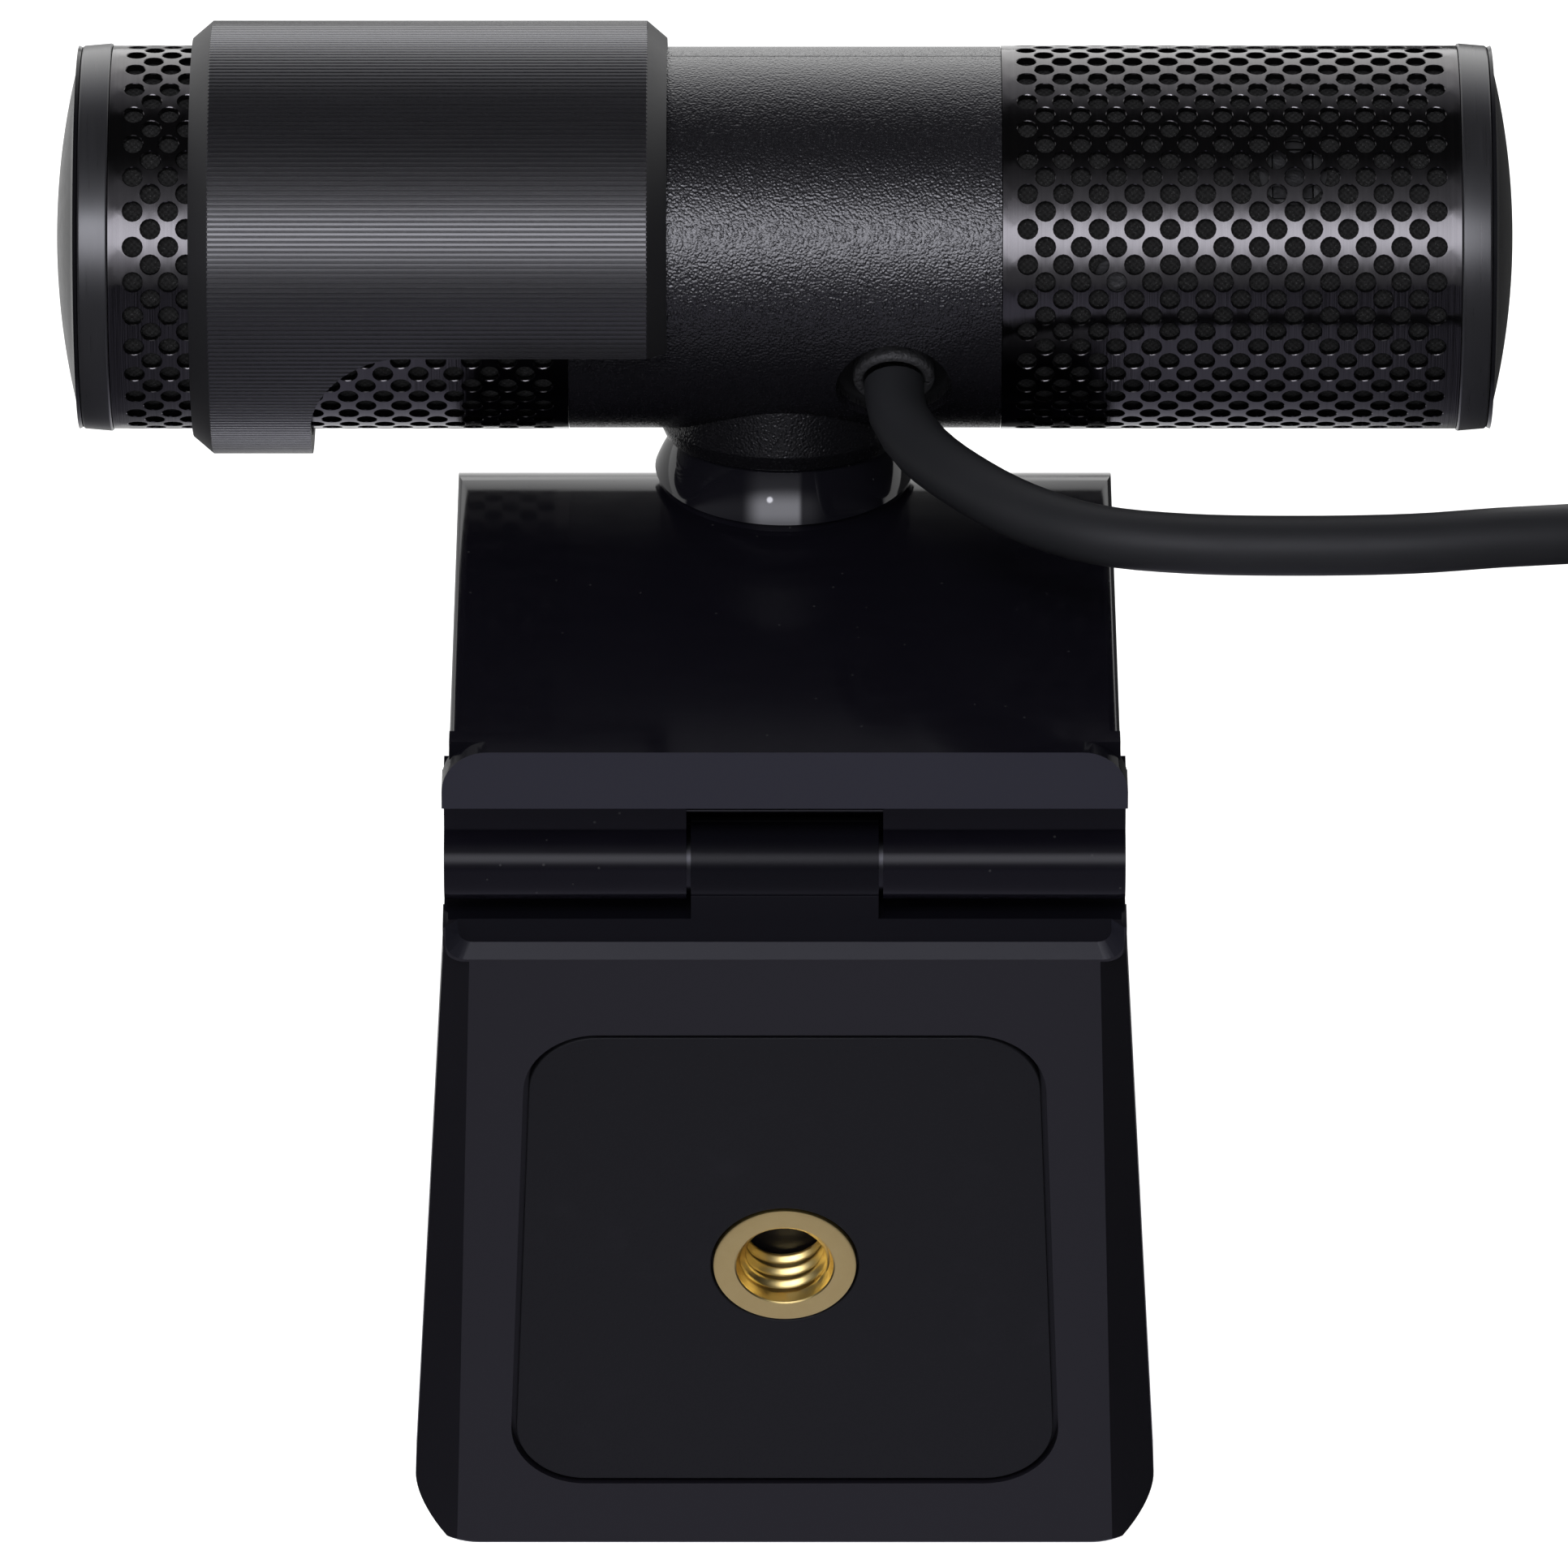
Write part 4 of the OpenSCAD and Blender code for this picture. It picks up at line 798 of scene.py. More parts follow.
# %% Cutting and edge-breaking
def baked(made):
    """The object with its modifiers applied, as a plain mesh."""
    depsgraph = bpy.context.evaluated_depsgraph_get()
    mesh = bpy.data.meshes.new_from_object(made.evaluated_get(depsgraph))
    made.modifiers.clear()
    old, made.data = made.data, mesh
    bpy.data.meshes.remove(old)
    return made


def boolean(body, tool, operation="DIFFERENCE"):
    step = body.modifiers.new("cut", "BOOLEAN")
    step.operation, step.solver, step.object = operation, "EXACT", tool
    baked(body)
    bpy.data.objects.remove(tool)
    return body


def block(name, low, high, place=HEAD):
    """A box between two corners in mm, for cutting."""
    bm = bmesh.new()
    bmesh.ops.create_cube(bm, size=1.0)
    for v in bm.verts:
        v.co = place @ Vector([(lo + (c + 0.5) * (hi - lo)) * MM
                               for c, lo, hi in zip(v.co, low, high)])
    return from_bmesh(name, bm)


def loft(name, near, far, place):
    """A closed solid between two outlines in mm with the same number of points."""
    bm = bmesh.new()
    a, b = ([bm.verts.new(place @ (Vector(p) * MM)) for p in line] for line in (near, far))
    bm.faces.new(a)
    bm.faces.new(list(reversed(b)))
    for k in range(len(a)):
        n = (k + 1) % len(a)
        bm.faces.new((a[k], b[k], b[n], a[n]))
    bmesh.ops.triangulate(bm, faces=bm.faces)
    return from_bmesh(name, bm)


def break_edges(body, width, angle=50.0):
    bm = bmesh.new()
    bm.from_mesh(body.data)
    bmesh.ops.remove_doubles(bm, verts=bm.verts, dist=2e-6)
    bmesh.ops.dissolve_degenerate(bm, edges=bm.edges, dist=2e-6)
    bm.to_mesh(body.data)
    bm.free()
    step = body.modifiers.new("edge", "BEVEL")
    step.width, step.segments, step.limit_method = width * MM, 2, "ANGLE"
    step.angle_limit = math.radians(angle)
    step.use_clamp_overlap = True
    step.miter_outer = "MITER_ARC"
    smoothed(baked(body))
    step = body.modifiers.new("shade", "WEIGHTED_NORMAL")
    step.keep_sharp = True
    return baked(body)


def join(parts, name):
    """One object from several."""
    bm = bmesh.new()
    for part in parts:
        bm.from_mesh(part.data)
        bpy.data.objects.remove(part)
    return as_it_stands(name, bm)


def done(piece, finish, body, slot, *nodes):
    """Gives a finished piece its material and body, and hides the CAD nodes it stands for.
    The slot is not used.
    """
    piece.data.materials.clear()
    piece.data.materials.append(finish)
    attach(piece, body)
    if nodes:
        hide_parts(*nodes)
    print(f"{piece.name}: {len(piece.data.polygons)} faces on {body}")
    return piece


# %% [markdown]
# Some CAD solids already have the right shape and only lack broken edges. A copy of the node is
# welded, its flat faces are dissolved back into single ones, and its edges are bevelled. A
# `shape` step may cut or add something first. A piece can also wear a second material in places;
# on the clip, this paints light or shade onto chosen faces.

# %% Refine a CAD copy
def refined(node, width, name, shape=None):
    bm = bmesh.new()
    bm.from_mesh(frame["nodes"][node].data)
    bmesh.ops.remove_doubles(bm, verts=bm.verts, dist=3e-6)
    bmesh.ops.dissolve_limit(bm, angle_limit=math.radians(0.4), verts=bm.verts, edges=bm.edges,
                             delimit=set())
    made = as_it_stands(name, bm)
    if shape:
        shape(made)
    return break_edges(made, width, 40.0)


def second_material(piece, finish, place, chosen):
    """Another material for the faces whose middle, in mm in a frame, is chosen."""
    piece.data.materials.append(finish)
    to_frame = place.inverted()
    for face in piece.data.polygons:
        if chosen(to_frame @ face.center / MM):
            face.material_index = len(piece.data.materials) - 1


print("refine ready")

# %% [markdown]
# ## Geometry Nodes
# A recipe is a node tree with named inputs. `Recipe` builds on `Paint`, because the same
# expressions work in both kinds of tree. `cook` puts the tree on an object, sets each input by
# its socket's identifier, and turns the evaluated result into a plain mesh.

# %% Recipe
class Recipe(Paint):
    def __init__(self, name, **inputs):
        tree = bpy.data.node_groups.new(name, "GeometryNodeTree")
        super().__init__(tree)
        tree.is_modifier = True
        self.sockets = {}
        for key, kind in {"Geometry": "Geometry", **inputs}.items():
            socket = tree.interface.new_socket(key.replace("_", " "), in_out="INPUT",
                                               socket_type="NodeSocket" + kind)
            self.sockets[key] = socket.identifier
        tree.interface.new_socket("Geometry", in_out="OUTPUT", socket_type="NodeSocketGeometry")
        start = tree.nodes.new("NodeGroupInput")
        self.given = {key: Wire(self, start.outputs[i]) for i, key in enumerate(self.sockets)}

    def join_all(self, *parts):
        made = self.tree.nodes.new("GeometryNodeJoinGeometry")
        for part in parts:
            self.tree.links.new(part.socket, made.inputs[0])
        return Wire(self, made.outputs[0])

    def line(self, count, start, step):
        return self.node("GeometryNodeMeshLine", {"mode": "OFFSET"}, {
            "Count": count, "Start Location": start, "Offset": step})

    def instances(self, points, thing):
        return self.node("GeometryNodeInstanceOnPoints", {}, {"Points": points,
                                                              "Instance": thing})

    def serve(self, result, material):
        real = self.node("GeometryNodeRealizeInstances", {}, {"Geometry": result})
        real = self.node("GeometryNodeSetMaterial", {}, {"Geometry": real,
                                                         "Material": material})
        self.node("NodeGroupOutput", {}, {0: real})
        return self

    def cook(self, thing, **values):
        step = thing.modifiers.new(self.tree.name, "NODES")
        step.node_group = self.tree
        for key, value in values.items():
            step[self.sockets[key]] = value
        return baked(thing)


print("Recipe ready")

# %% [markdown]
# ## Perforated grilles
# The real grille is a steel sheet, punched flat with staggered round holes and then rolled into
# a tube. The recipe does the same. One tile is a diamond of sheet with a punched hole, and
# diamonds fill a plane on a staggered lattice. Two lines of tiles and the plain margins make
# one strip, strips repeat round the tube, and Set Position rolls the flat sheet. Boolean holes
# would cost far more and give worse faces.

# %% One punched tile, and the margins of one strip
HOLE_R = 0.66
RIM = 0.05
SHEET_T = 0.4
GRILLE_R = size("grille_left").z / (2 * MM)
HOLES_ROUND = 34
COLUMNS = 24
ROW_PITCH = math.tau * GRILLE_R / HOLES_ROUND
COLUMN_PITCH = 1.187
grille_low, grille_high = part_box("grille_right")
SHEET_START, SHEET_END = grille_low.x / MM, grille_high.x / MM
FIRST_HOLE = (SHEET_START + SHEET_END - (COLUMNS - 1) * COLUMN_PITCH) / 2
SPLITS = 4


def side_points(a, b):
    return [Vector(a).lerp(Vector(b), k / SPLITS) for k in range(SPLITS)]


def punched_tile():
    p, q = COLUMN_PITCH, ROW_PITCH / 2
    tips = [(p, 0, 0), (0, q, 0), (-p, 0, 0), (0, -q, 0)]
    rim = [v for a, b in zip(tips, tips[1:] + tips[:1]) for v in side_points(a, b)]
    bm = bmesh.new()

    def circle(radius, depth):
        return [bm.verts.new((radius * math.cos(a), radius * math.sin(a), -depth))
                for a in turns(len(rim))]

    rings = [[bm.verts.new(v) for v in rim], circle(HOLE_R + RIM, 0), circle(HOLE_R, RIM),
             circle(HOLE_R, SHEET_T), [bm.verts.new((v.x, v.y, -SHEET_T)) for v in rim]]
    skin(bm, rings)
    return as_it_stands("tile", bm)


def margin_strips():
    """The notches beside the first and last columns, the plain margins and their end walls."""
    bm = bmesh.new()

    def slab(outline, open_edge=None):
        top = [bm.verts.new(v) for v in outline]
        low = [bm.verts.new((v.x, v.y, -SHEET_T)) for v in outline]
        bm.faces.new(top)
        bm.faces.new(list(reversed(low)))
        if open_edge is not None:
            k, n = open_edge, (open_edge + 1) % len(top)
            bm.faces.new((top[n], top[k], low[k], low[n]))

    last = FIRST_HOLE + (COLUMNS - 1) * COLUMN_PITCH
    for x, edge, turn, low_y in ((FIRST_HOLE, SHEET_START, -1, 0.0),
                                 (last, SHEET_END, 1, -ROW_PITCH / 2)):
        base = x + turn * COLUMN_PITCH
        bottom, top = (base, low_y, 0), (base, low_y + ROW_PITCH, 0)
        tip = (x, low_y + ROW_PITCH / 2, 0)
        notch = side_points(bottom, tip) + side_points(tip, top) + side_points(top, bottom)
        slab(notch if turn < 0 else list(reversed(notch)))
        for k in range(SPLITS):
            y0 = low_y + ROW_PITCH * k / SPLITS
            y1 = low_y + ROW_PITCH * (k + 1) / SPLITS
            quad = [Vector((base, y0, 0)), Vector((edge, y0, 0)),
                    Vector((edge, y1, 0)), Vector((base, y1, 0))]
            slab(quad if turn > 0 else list(reversed(quad)), 1)
    return as_it_stands("margins", bm)


print("holes:", COLUMNS * HOLES_ROUND, "of", 2 * HOLE_R, "mm; first column at",
      round(FIRST_HOLE, 2))

# %% The rolled-sheet recipe
rolled = Recipe("rolled_perforated_sheet", Margins="Object", Columns="Int", Rows="Int",
                Column_pitch="Float", Row_pitch="Float", First_column="Float", Radius="Float",
                Metal="Material")
g = rolled.given
even = rolled.line(g["Columns"] / 2, rolled.joined(g["First_column"], 0.0, 0.0),
                   rolled.joined(g["Column_pitch"] * 2, 0.0, 0.0))
odd = rolled.line(g["Columns"] / 2,
                  rolled.joined(g["First_column"] + g["Column_pitch"], g["Row_pitch"] / 2, 0.0),
                  rolled.joined(g["Column_pitch"] * 2, 0.0, 0.0))
margins = rolled.node("GeometryNodeObjectInfo", {}, {"Object": g["Margins"]}, "Geometry")
strip = rolled.join_all(rolled.instances(even, g["Geometry"]),
                        rolled.instances(odd, g["Geometry"]), margins)
rows = rolled.line(g["Rows"], (0.0, 0.0, 0.0), rolled.joined(0.0, g["Row_pitch"], 0.0))
flat = rolled.node("GeometryNodeRealizeInstances", {}, {
    "Geometry": rolled.instances(rows, strip)})
sheet_x, sheet_y, sheet_z = rolled.axes(rolled.node("GeometryNodeInputPosition"))
turned = sheet_y / g["Radius"]
depth = g["Radius"] + sheet_z
wrapped = rolled.joined(sheet_x, depth * turned.math("COSINE"), depth * turned.sin())
tube = rolled.node("GeometryNodeSetPosition", {}, {"Geometry": flat, "Position": wrapped})
welded = rolled.node("GeometryNodeMergeByDistance", {}, {"Geometry": tube, "Distance": 0.004})
rolled.serve(welded, g["Metal"])


def grille(name, mirror):
    tile, edges = punched_tile(), margin_strips()
    rolled.cook(tile, Margins=edges, Columns=COLUMNS, Rows=HOLES_ROUND,
                Column_pitch=COLUMN_PITCH, Row_pitch=ROW_PITCH, First_column=FIRST_HOLE,
                Radius=GRILLE_R, Metal=grille_metal)
    bpy.data.objects.remove(edges)
    bm = bmesh.new()
    bm.from_mesh(tile.data)
    bpy.data.objects.remove(tile)
    for v in bm.verts:
        v.co = HEAD @ Vector((mirror * v.co.x * MM, v.co.y * MM, v.co.z * MM))
    return from_bmesh(name, bm, 30.0)


SIDES = ((-1, "left"), (1, "right"))
for mirror, side in SIDES:
    done(grille("rolled_grille_" + side, mirror), grille_metal, "head", "grille_metal",
         "grille_" + side)

# %% [markdown]
# ## Cloth behind the grilles
# A soft tube of acoustic cloth, with a round opening in front of each microphone. Its surface
# is not perfectly even: a slow ripple of a few hundredths of a millimetre runs over it.

# %% Cloth tubes
MICROPHONES = [(33.9, 39.5, 2.3), (21.9, 7.3, 1.15)]
CLOTH_R, CLOTH_IN, CLOTH_COLUMNS = 12.42, 12.12, 48
RIPPLE = 0.03


def at_rear(x, angle):
    """A frame on the tube's axis at x whose Z points out, at an angle above the rear."""
    return HEAD @ Matrix.Translation((x * MM, 0, 0)) @ Matrix.Rotation(
        math.radians(90 - angle), 4, "X")


def cloth_tube(name, node, mirror):
    low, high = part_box(node)
    x0, x1 = low.x / MM, high.x / MM
    outer = [(x0 + (x1 - x0) * k / CLOTH_COLUMNS, CLOTH_R) for k in range(CLOTH_COLUMNS + 1)]
    piece = lathe(name, outer + [(x1, CLOTH_IN), (x0, CLOTH_IN)], segments=144)
    for v in piece.data.vertices:
        local = HEAD.inverted() @ v.co
        if math.hypot(local.y, local.z) > (CLOTH_R + CLOTH_IN) / 2 * MM:
            wave = 1 + noise.noise(local * 900) * RIPPLE / 12.4
            v.co = HEAD @ Vector((local.x, local.y * wave, local.z * wave))
    if mirror > 0:
        for x, angle, radius in MICROPHONES:
            boolean(piece, rod("opening", radius, 10, 14, place=at_rear(x, angle), axis="Z",
                               segments=48))
    return piece


for mirror, side in SIDES:
    done(cloth_tube("cloth_tube_" + side, "cloth_" + side, mirror), cloth_black, "head",
         "cloth_black", "cloth_" + side)

# %% [markdown]
# ## Middle shell
# Two moulded halves meet in a fine seam along the top and the bottom of the tube. The rear half
# has the cable's recess and half of the neck's opening; the front half has the window's bore
# and a pinhole for the light. Each half is a turned tube, cut by a box at the seam and then by
# the openings, with its edges broken by an eighth of a millimetre. A cup lines the recess.

# %% Shell halves
TUBE_R = size("shell_rear").z / (2 * MM)
HALF_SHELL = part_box("shell_rear")[1].x / MM
SHELL_IN = TUBE_R - 1.3
SEAM = 0.05
EXIT_X, EXIT_ANGLE = 7.3, 33.4
RECESS_R, RECESS_FLOOR, GROMMET_R = 3.9, 11.0, 2.75
NECK_R = size("neck_cup").x / (2 * MM)
STEM_R = NECK_R - 0.65
WINDOW_R = size("lens_window").x / (2 * MM)
LIGHT_X = middle("status_led").x / MM
EXIT = at_rear(EXIT_X, -EXIT_ANGLE)
NECK = Matrix.Translation(ball_centre) @ Matrix.Rotation(-pitch, 4, "X")
AXIS_RISE = rise.length / MM


def shell_half(name, side):
    shell = lathe(name, filleted([(-HALF_SHELL, TUBE_R, 0), (HALF_SHELL, TUBE_R, 0),
                                  (HALF_SHELL, SHELL_IN, 0), (-HALF_SHELL, SHELL_IN, 0)]),
                  segments=240)
    low_y, high_y = (SEAM, 20) if side > 0 else (-20, -SEAM)
    boolean(shell, block("half", (-20, low_y, -20), (20, high_y, 20)), "INTERSECT")
    boolean(shell, rod("neck_bore", STEM_R + 0.05, 0, AXIS_RISE, place=NECK, axis="Z"))
    if side > 0:
        boolean(shell, rod("window_bore", WINDOW_R + 0.08, 5, 20, axis="Y", segments=128))
        boolean(shell, rod("light_bore", 0.7, 5, 20, axis="Y", segments=32,
                           place=HEAD @ Matrix.Translation((LIGHT_X * MM, 0, 0))))
    else:
        boolean(shell, rod("recess", RECESS_R, 5, 20, place=EXIT, axis="Z", segments=96))
    return break_edges(shell, 0.12)


done(shell_half("front_shell", 1), head_black, "head", "head_black", "shell_front")
rear = shell_half("rear_shell", -1)
cup = lathe("recess_cup", filleted([
    (RECESS_FLOOR, GROMMET_R, 0), (RECESS_FLOOR, RECESS_R, 0.4), (TUBE_R - 1.0, RECESS_R, 0),
    (TUBE_R - 1.0, RECESS_R + 0.5, 0), (RECESS_FLOOR - 0.8, RECESS_R + 0.5, 0),
    (RECESS_FLOOR - 0.8, GROMMET_R, 0)]), place=EXIT, axis="Z", segments=72)
done(rear, head_black, "head", "head_black", "shell_rear")
done(cup, grommet_black, "head", "head_black")

# %% [markdown]
# The grommet is a stepped bush of soft plastic that the cable is pulled through. It stands on
# the floor of the recess, and its rounded mouth keeps the cable off any sharp edge.

# %% Grommet
grommet = lathe("grommet_bush", filleted([
    (8.8, 2.05, 0), (8.8, GROMMET_R + 0.6, 0.1), (10.1, GROMMET_R + 0.6, 0.1),
    (10.1, GROMMET_R - 0.02, 0), (12.2, GROMMET_R - 0.02, 0.35), (12.2, 2.05, 0.2)]),
    place=EXIT, axis="Z", segments=72)
done(grommet, grommet_grey, "head", "head_black", "cable_grommet")

# %% [markdown]
# ## Neck
# The neck is a short turned column that carries the tube. Its top is milled to the tube's curve,
# which draws the long oval seam where they meet; its rim ends just above the dome.

# %% Neck
BALL_R = 9.4
CUP_R = BALL_R + 0.36
rim = math.sqrt(CUP_R ** 2 - NECK_R ** 2)
neck = lathe("neck_column", filleted([
    (rim, NECK_R - 0.35, 0), (rim, NECK_R, 0.25), (rim + 1.1, NECK_R + 0.5, 0.3),
    (AXIS_RISE - 6, NECK_R + 0.6, 0),
    (AXIS_RISE - 6, 3.5, 0), (rim + 2.6, 3.5, 0), (rim + 2.6, 5.2, 0)]), place=NECK, axis="Z",
    segments=144)
boolean(neck, rod("tube_saddle", TUBE_R + 0.01, -12, 12, segments=240))
break_edges(neck, 0.1)
stem = lathe("neck_stem", filleted([
    (rim + 0.6, 5.0, 0), (rim + 0.6, STEM_R, 0.1), (10.85, STEM_R, 0.3), (10.85, 3.4, 0),
    (12.0, 3.4, 0.2), (12.0, 1.25, 0), (rim + 3.6, 1.25, 0), (rim + 3.6, 5.0, 0)]), place=NECK,
    axis="Z", segments=96)
done(join([neck, stem], "neck_piece"), neck_black, "head", "head_black", "neck_cup")

# %% [markdown]
# ## Trim rings and end caps
# A satin ring ends each grille and tapers a little towards the cap. The cap beyond it is a
# polished black dome with a rounded shoulder. Both are simple lathe work.

# %% Rings and caps
RIM_R = size("trim_ring_right").z / (2 * MM)
RING_START, CAP_START = (corner.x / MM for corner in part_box("trim_ring_right"))
CAP_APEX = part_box("end_cap_right")[1].x / MM
CAP_RISE = CAP_APEX - CAP_START
RING_TAPER = 0.15
RING_IN, SPIGOT_R, SPIGOT_IN = 12.1, 10.2, 9.9
CAP_SPHERE = (RIM_R ** 2 + CAP_RISE ** 2) / (2 * CAP_RISE)


def cap_outline():
    dome = [(CAP_APEX - CAP_SPHERE + math.sqrt(CAP_SPHERE ** 2 - r * r), r)
            for r in (RIM_R * k / 24 for k in range(24))]
    edge = RIM_R - RING_TAPER - 0.1
    shoulder = [(CAP_START + 0.3 + 0.75 * math.cos(a), edge - 0.75 + 0.85 * math.sin(a))
                for a in (math.radians(t) for t in (8, 25, 42, 58, 74, 90))]
    dome = [point for point in dome if point[1] < edge - 0.9 and point[0] > CAP_START]
    return dome + [p for p in shoulder if p[0] < dome[-1][0]] + [
        (CAP_START + 0.06, edge), (CAP_START, edge - 0.12), (CAP_START, SPIGOT_R),
        (CAP_START - 3, SPIGOT_R), (CAP_START - 3, SPIGOT_IN), (CAP_START, SPIGOT_IN),
        (CAP_START, 0)]


ring_outline = filleted([
    (RING_START, RIM_R - 0.05, 0.1), (RING_START + 0.12, RIM_R, 0.1),
    (CAP_START - 0.12, RIM_R - RING_TAPER, 0.1), (CAP_START, RIM_R - RING_TAPER - 0.06, 0.1),
    (CAP_START, RING_IN, 0), (RING_START, RING_IN, 0)])
for mirror, side in reversed(SIDES):
    for name, outline, finish, slot, node in (
            ("satin_ring_", ring_outline, trim_black, "bright_trim", "trim_ring_"),
            ("domed_cap_", cap_outline(), cap_black, "piano_black", "end_cap_")):
        done(lathe(name + side, [(mirror * x, r) for x, r in outline], segments=192), finish,
             "head", slot, node + side)

# %% [markdown]
# ## Privacy sleeve
# The sleeve is a machined tube that slides along the camera to cover the lens. Fine ribs run
# along it, a third of a millimetre apart, and both ends have a smooth chamfer, which cuts the
# ribs off on the turn. The mesh is one polar grid: the radius follows the ribs, and the ends of
# each line stop where the chamfer's cone meets that line. The slot over the neck is then cut.

# %% Ribbed sleeve
SLEEVE_X0, SLEEVE_X1 = (corner.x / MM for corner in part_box("privacy_sleeve"))
SLEEVE_OUT = 14.58
SLEEVE_IN = SLEEVE_OUT - 1.25
CHAMFER = 1.35
RIB_COUNT = 272
RIB_DEPTH = 0.06
RIB_SHARP = 20.0
RIB_SHAPE = [(0.0, 0.0), (0.5, 0.0), (0.58, 1.0), (0.92, 1.0)]
SLOT_DROP, SLOT_CORNER, CLOSED_RING = 3.8, 6.3, 8.0


def ribbed_tube(name):
    bm = bmesh.new()
    lip = SLEEVE_IN + 0.1
    lines = []
    for k in range(RIB_COUNT):
        for share, dip in RIB_SHAPE:
            a = math.tau * (k + share) / RIB_COUNT
            r = SLEEVE_OUT - RIB_DEPTH * dip
            back = CHAMFER * (r - lip) / (SLEEVE_OUT - lip)
            stations = [(SLEEVE_X0, SLEEVE_IN), (SLEEVE_X0, lip), (SLEEVE_X0 + back, r),
                        (SLEEVE_X1 - back, r), (SLEEVE_X1, lip), (SLEEVE_X1, SLEEVE_IN)]
            lines.append([bm.verts.new(HEAD @ Vector((x * MM, radius * MM * math.cos(a),
                                                      radius * MM * math.sin(a))))
                          for x, radius in stations])
    skin(bm, lines, wrap=True)
    return from_bmesh(name, bm, RIB_SHARP)


def slot_cutter():
    """The outline of the slot seen from the rear, pushed right through in the head's Y."""
    right, left, low = SLEEVE_X1 + 3, SLEEVE_X0 + CLOSED_RING, -22.0
    outline = filleted([(right, -SLOT_DROP, 0), (right, low, 0), (left, low, 0),
                        (left, -SLOT_DROP, SLOT_CORNER)], 16)
    return loft("slot", *([(x, y, z) for x, z in outline] for y in (-30, 30)), HEAD)


sleeve = smoothed(boolean(ribbed_tube("ribbed_sleeve"), slot_cutter()), RIB_SHARP)
done(sleeve, sleeve_black, "sleeve", "sleeve_black", "privacy_sleeve")
done(refined("sleeve_felt", 0.05, "felt_strips"), felt_black, "sleeve", "cloth_black",
     "sleeve_felt")

# %% [markdown]
# ## Ball dome
# The dome is a polished hemisphere with a fine step at its foot. Its mirror skin needs many
# segments and one continuous curve, so it is turned from an exact arc.

# %% Dome
BALL = Matrix.Translation(ball_centre)
dome_low = (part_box("ball_dome")[0] - ball_centre).z / MM
DOME_FOOT = 3.3
arc = [(h, math.sqrt(BALL_R ** 2 - h * h)) for h in
       (DOME_FOOT + 0.1 + (8.12 - DOME_FOOT - 0.1) * k / 28 for k in range(29))]
foot_r = arc[0][1]
dome = lathe("polished_dome", [(DOME_FOOT, foot_r - 0.12)] + arc + [
    (8.07, 4.62), (6.75, 4.6), (4.4, 6.9), (2.9, 6.9), (2.9, 5.25),
    (dome_low, 5.25), (dome_low, 7.35), (DOME_FOOT, 7.35)], place=BALL, axis="Z", segments=192)
done(dome, piano_black, "bracket", "piano_black", "ball_dome")
done(refined("friction_liner", 0.03, "liner_shell"), white_plastic, "swivel", "white_plastic",
     "friction_liner")

# %% [markdown]
# ## Clip
# The bracket and the leg are mouldings with crisp outlines, so refined copies of the CAD solids
# stand for them. Three places need more than broken edges. The bay round the hinge gets one
# sloping rim that follows its rounded corners right over the leg's side bevels. The leg's foot
# keeps its rounded corners through the bevel. Behind the flange's rounded corners, the hinge
# arms' square tops are cut back to the plate's side. Some faces then get lighter or darker copies
# of the black: painted light on the flange's face and the rim, painted shade in the bay and
# behind the flange's corners.

# %% Shapes of the clip
LEG_BACK = -3.0
BAY_TOP, BAY_END, BAY_HALF, BAY_CORNER, BAY_DEPTH = 3.42, 6.2, 22.4, 3.3, 0.8
FOOT, FOOT_HALF, FOOT_CORNER, FOOT_BEVEL = 58.8, 25.35, 4.3, 0.7
REAR_Y, PLATE_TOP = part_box("top_bracket")[0].y / MM, 3.2
FLANGE_HALF, FLANGE_CORNER = size("top_bracket").x / (2 * MM), 3.0
PLATE_HALF, ARM_TOP = FLANGE_HALF - 0.47, 0.31


def bay_line(inset, y, top=BAY_TOP):
    half, end = BAY_HALF - inset, BAY_END - inset
    corners = [(-half, -top, 0), (half, -top, 0), (half, -end, BAY_CORNER - inset),
               (-half, -end, BAY_CORNER - inset)]
    return [(x, y, z) for x, z in filleted(corners, 8)]


def foot_line(side, y, lift):
    arc = filleted([(0, -40, 0), (FOOT_HALF - 0.97, -40, 0), (FOOT_HALF, -FOOT, FOOT_CORNER),
                    (0, -FOOT, 0)], 10)[2:-1]
    outer = [(arc[-1].x, -FOOT - 2), (FOOT_HALF + 2, -FOOT - 2), (FOOT_HALF + 2, arc[0].y)]
    return [(side * x, y, z + lift) for x, z in [*arc, *outer]]


def shape_leg(leg):
    boolean(leg, loft("shoulder", bay_line(-0.23, LEG_BACK - 0.01, BAY_TOP + 0.05),
                      bay_line(-0.23, LEG_BACK + 2.4, BAY_TOP + 0.05), LEG), "UNION")
    boolean(leg, loft("bay", bay_line(-0.34, LEG_BACK - 0.3),
                      bay_line(BAY_DEPTH - 0.02, LEG_BACK + BAY_DEPTH + 0.02), LEG))
    for side in (-1, 1):
        boolean(leg, loft("foot", foot_line(side, LEG_BACK - 0.1, FOOT_BEVEL + 0.1),
                          foot_line(side, LEG_BACK + FOOT_BEVEL, 0), LEG))


def shape_bracket(bracket):
    arm = [(PLATE_HALF, ARM_TOP), (FLANGE_HALF + 1, ARM_TOP), (FLANGE_HALF + 1, PLATE_TOP + 2),
           (PLATE_HALF, PLATE_TOP + 2)]
    for side in (-1, 1):
        boolean(bracket, loft("arm", *([(side * x, REAR_Y + y, z) for x, z in arm]
                                       for y in (2.04, 6)), Matrix()))


print("bay", BAY_END, "flange half", round(FLANGE_HALF, 2), "rear", round(REAR_Y, 2))

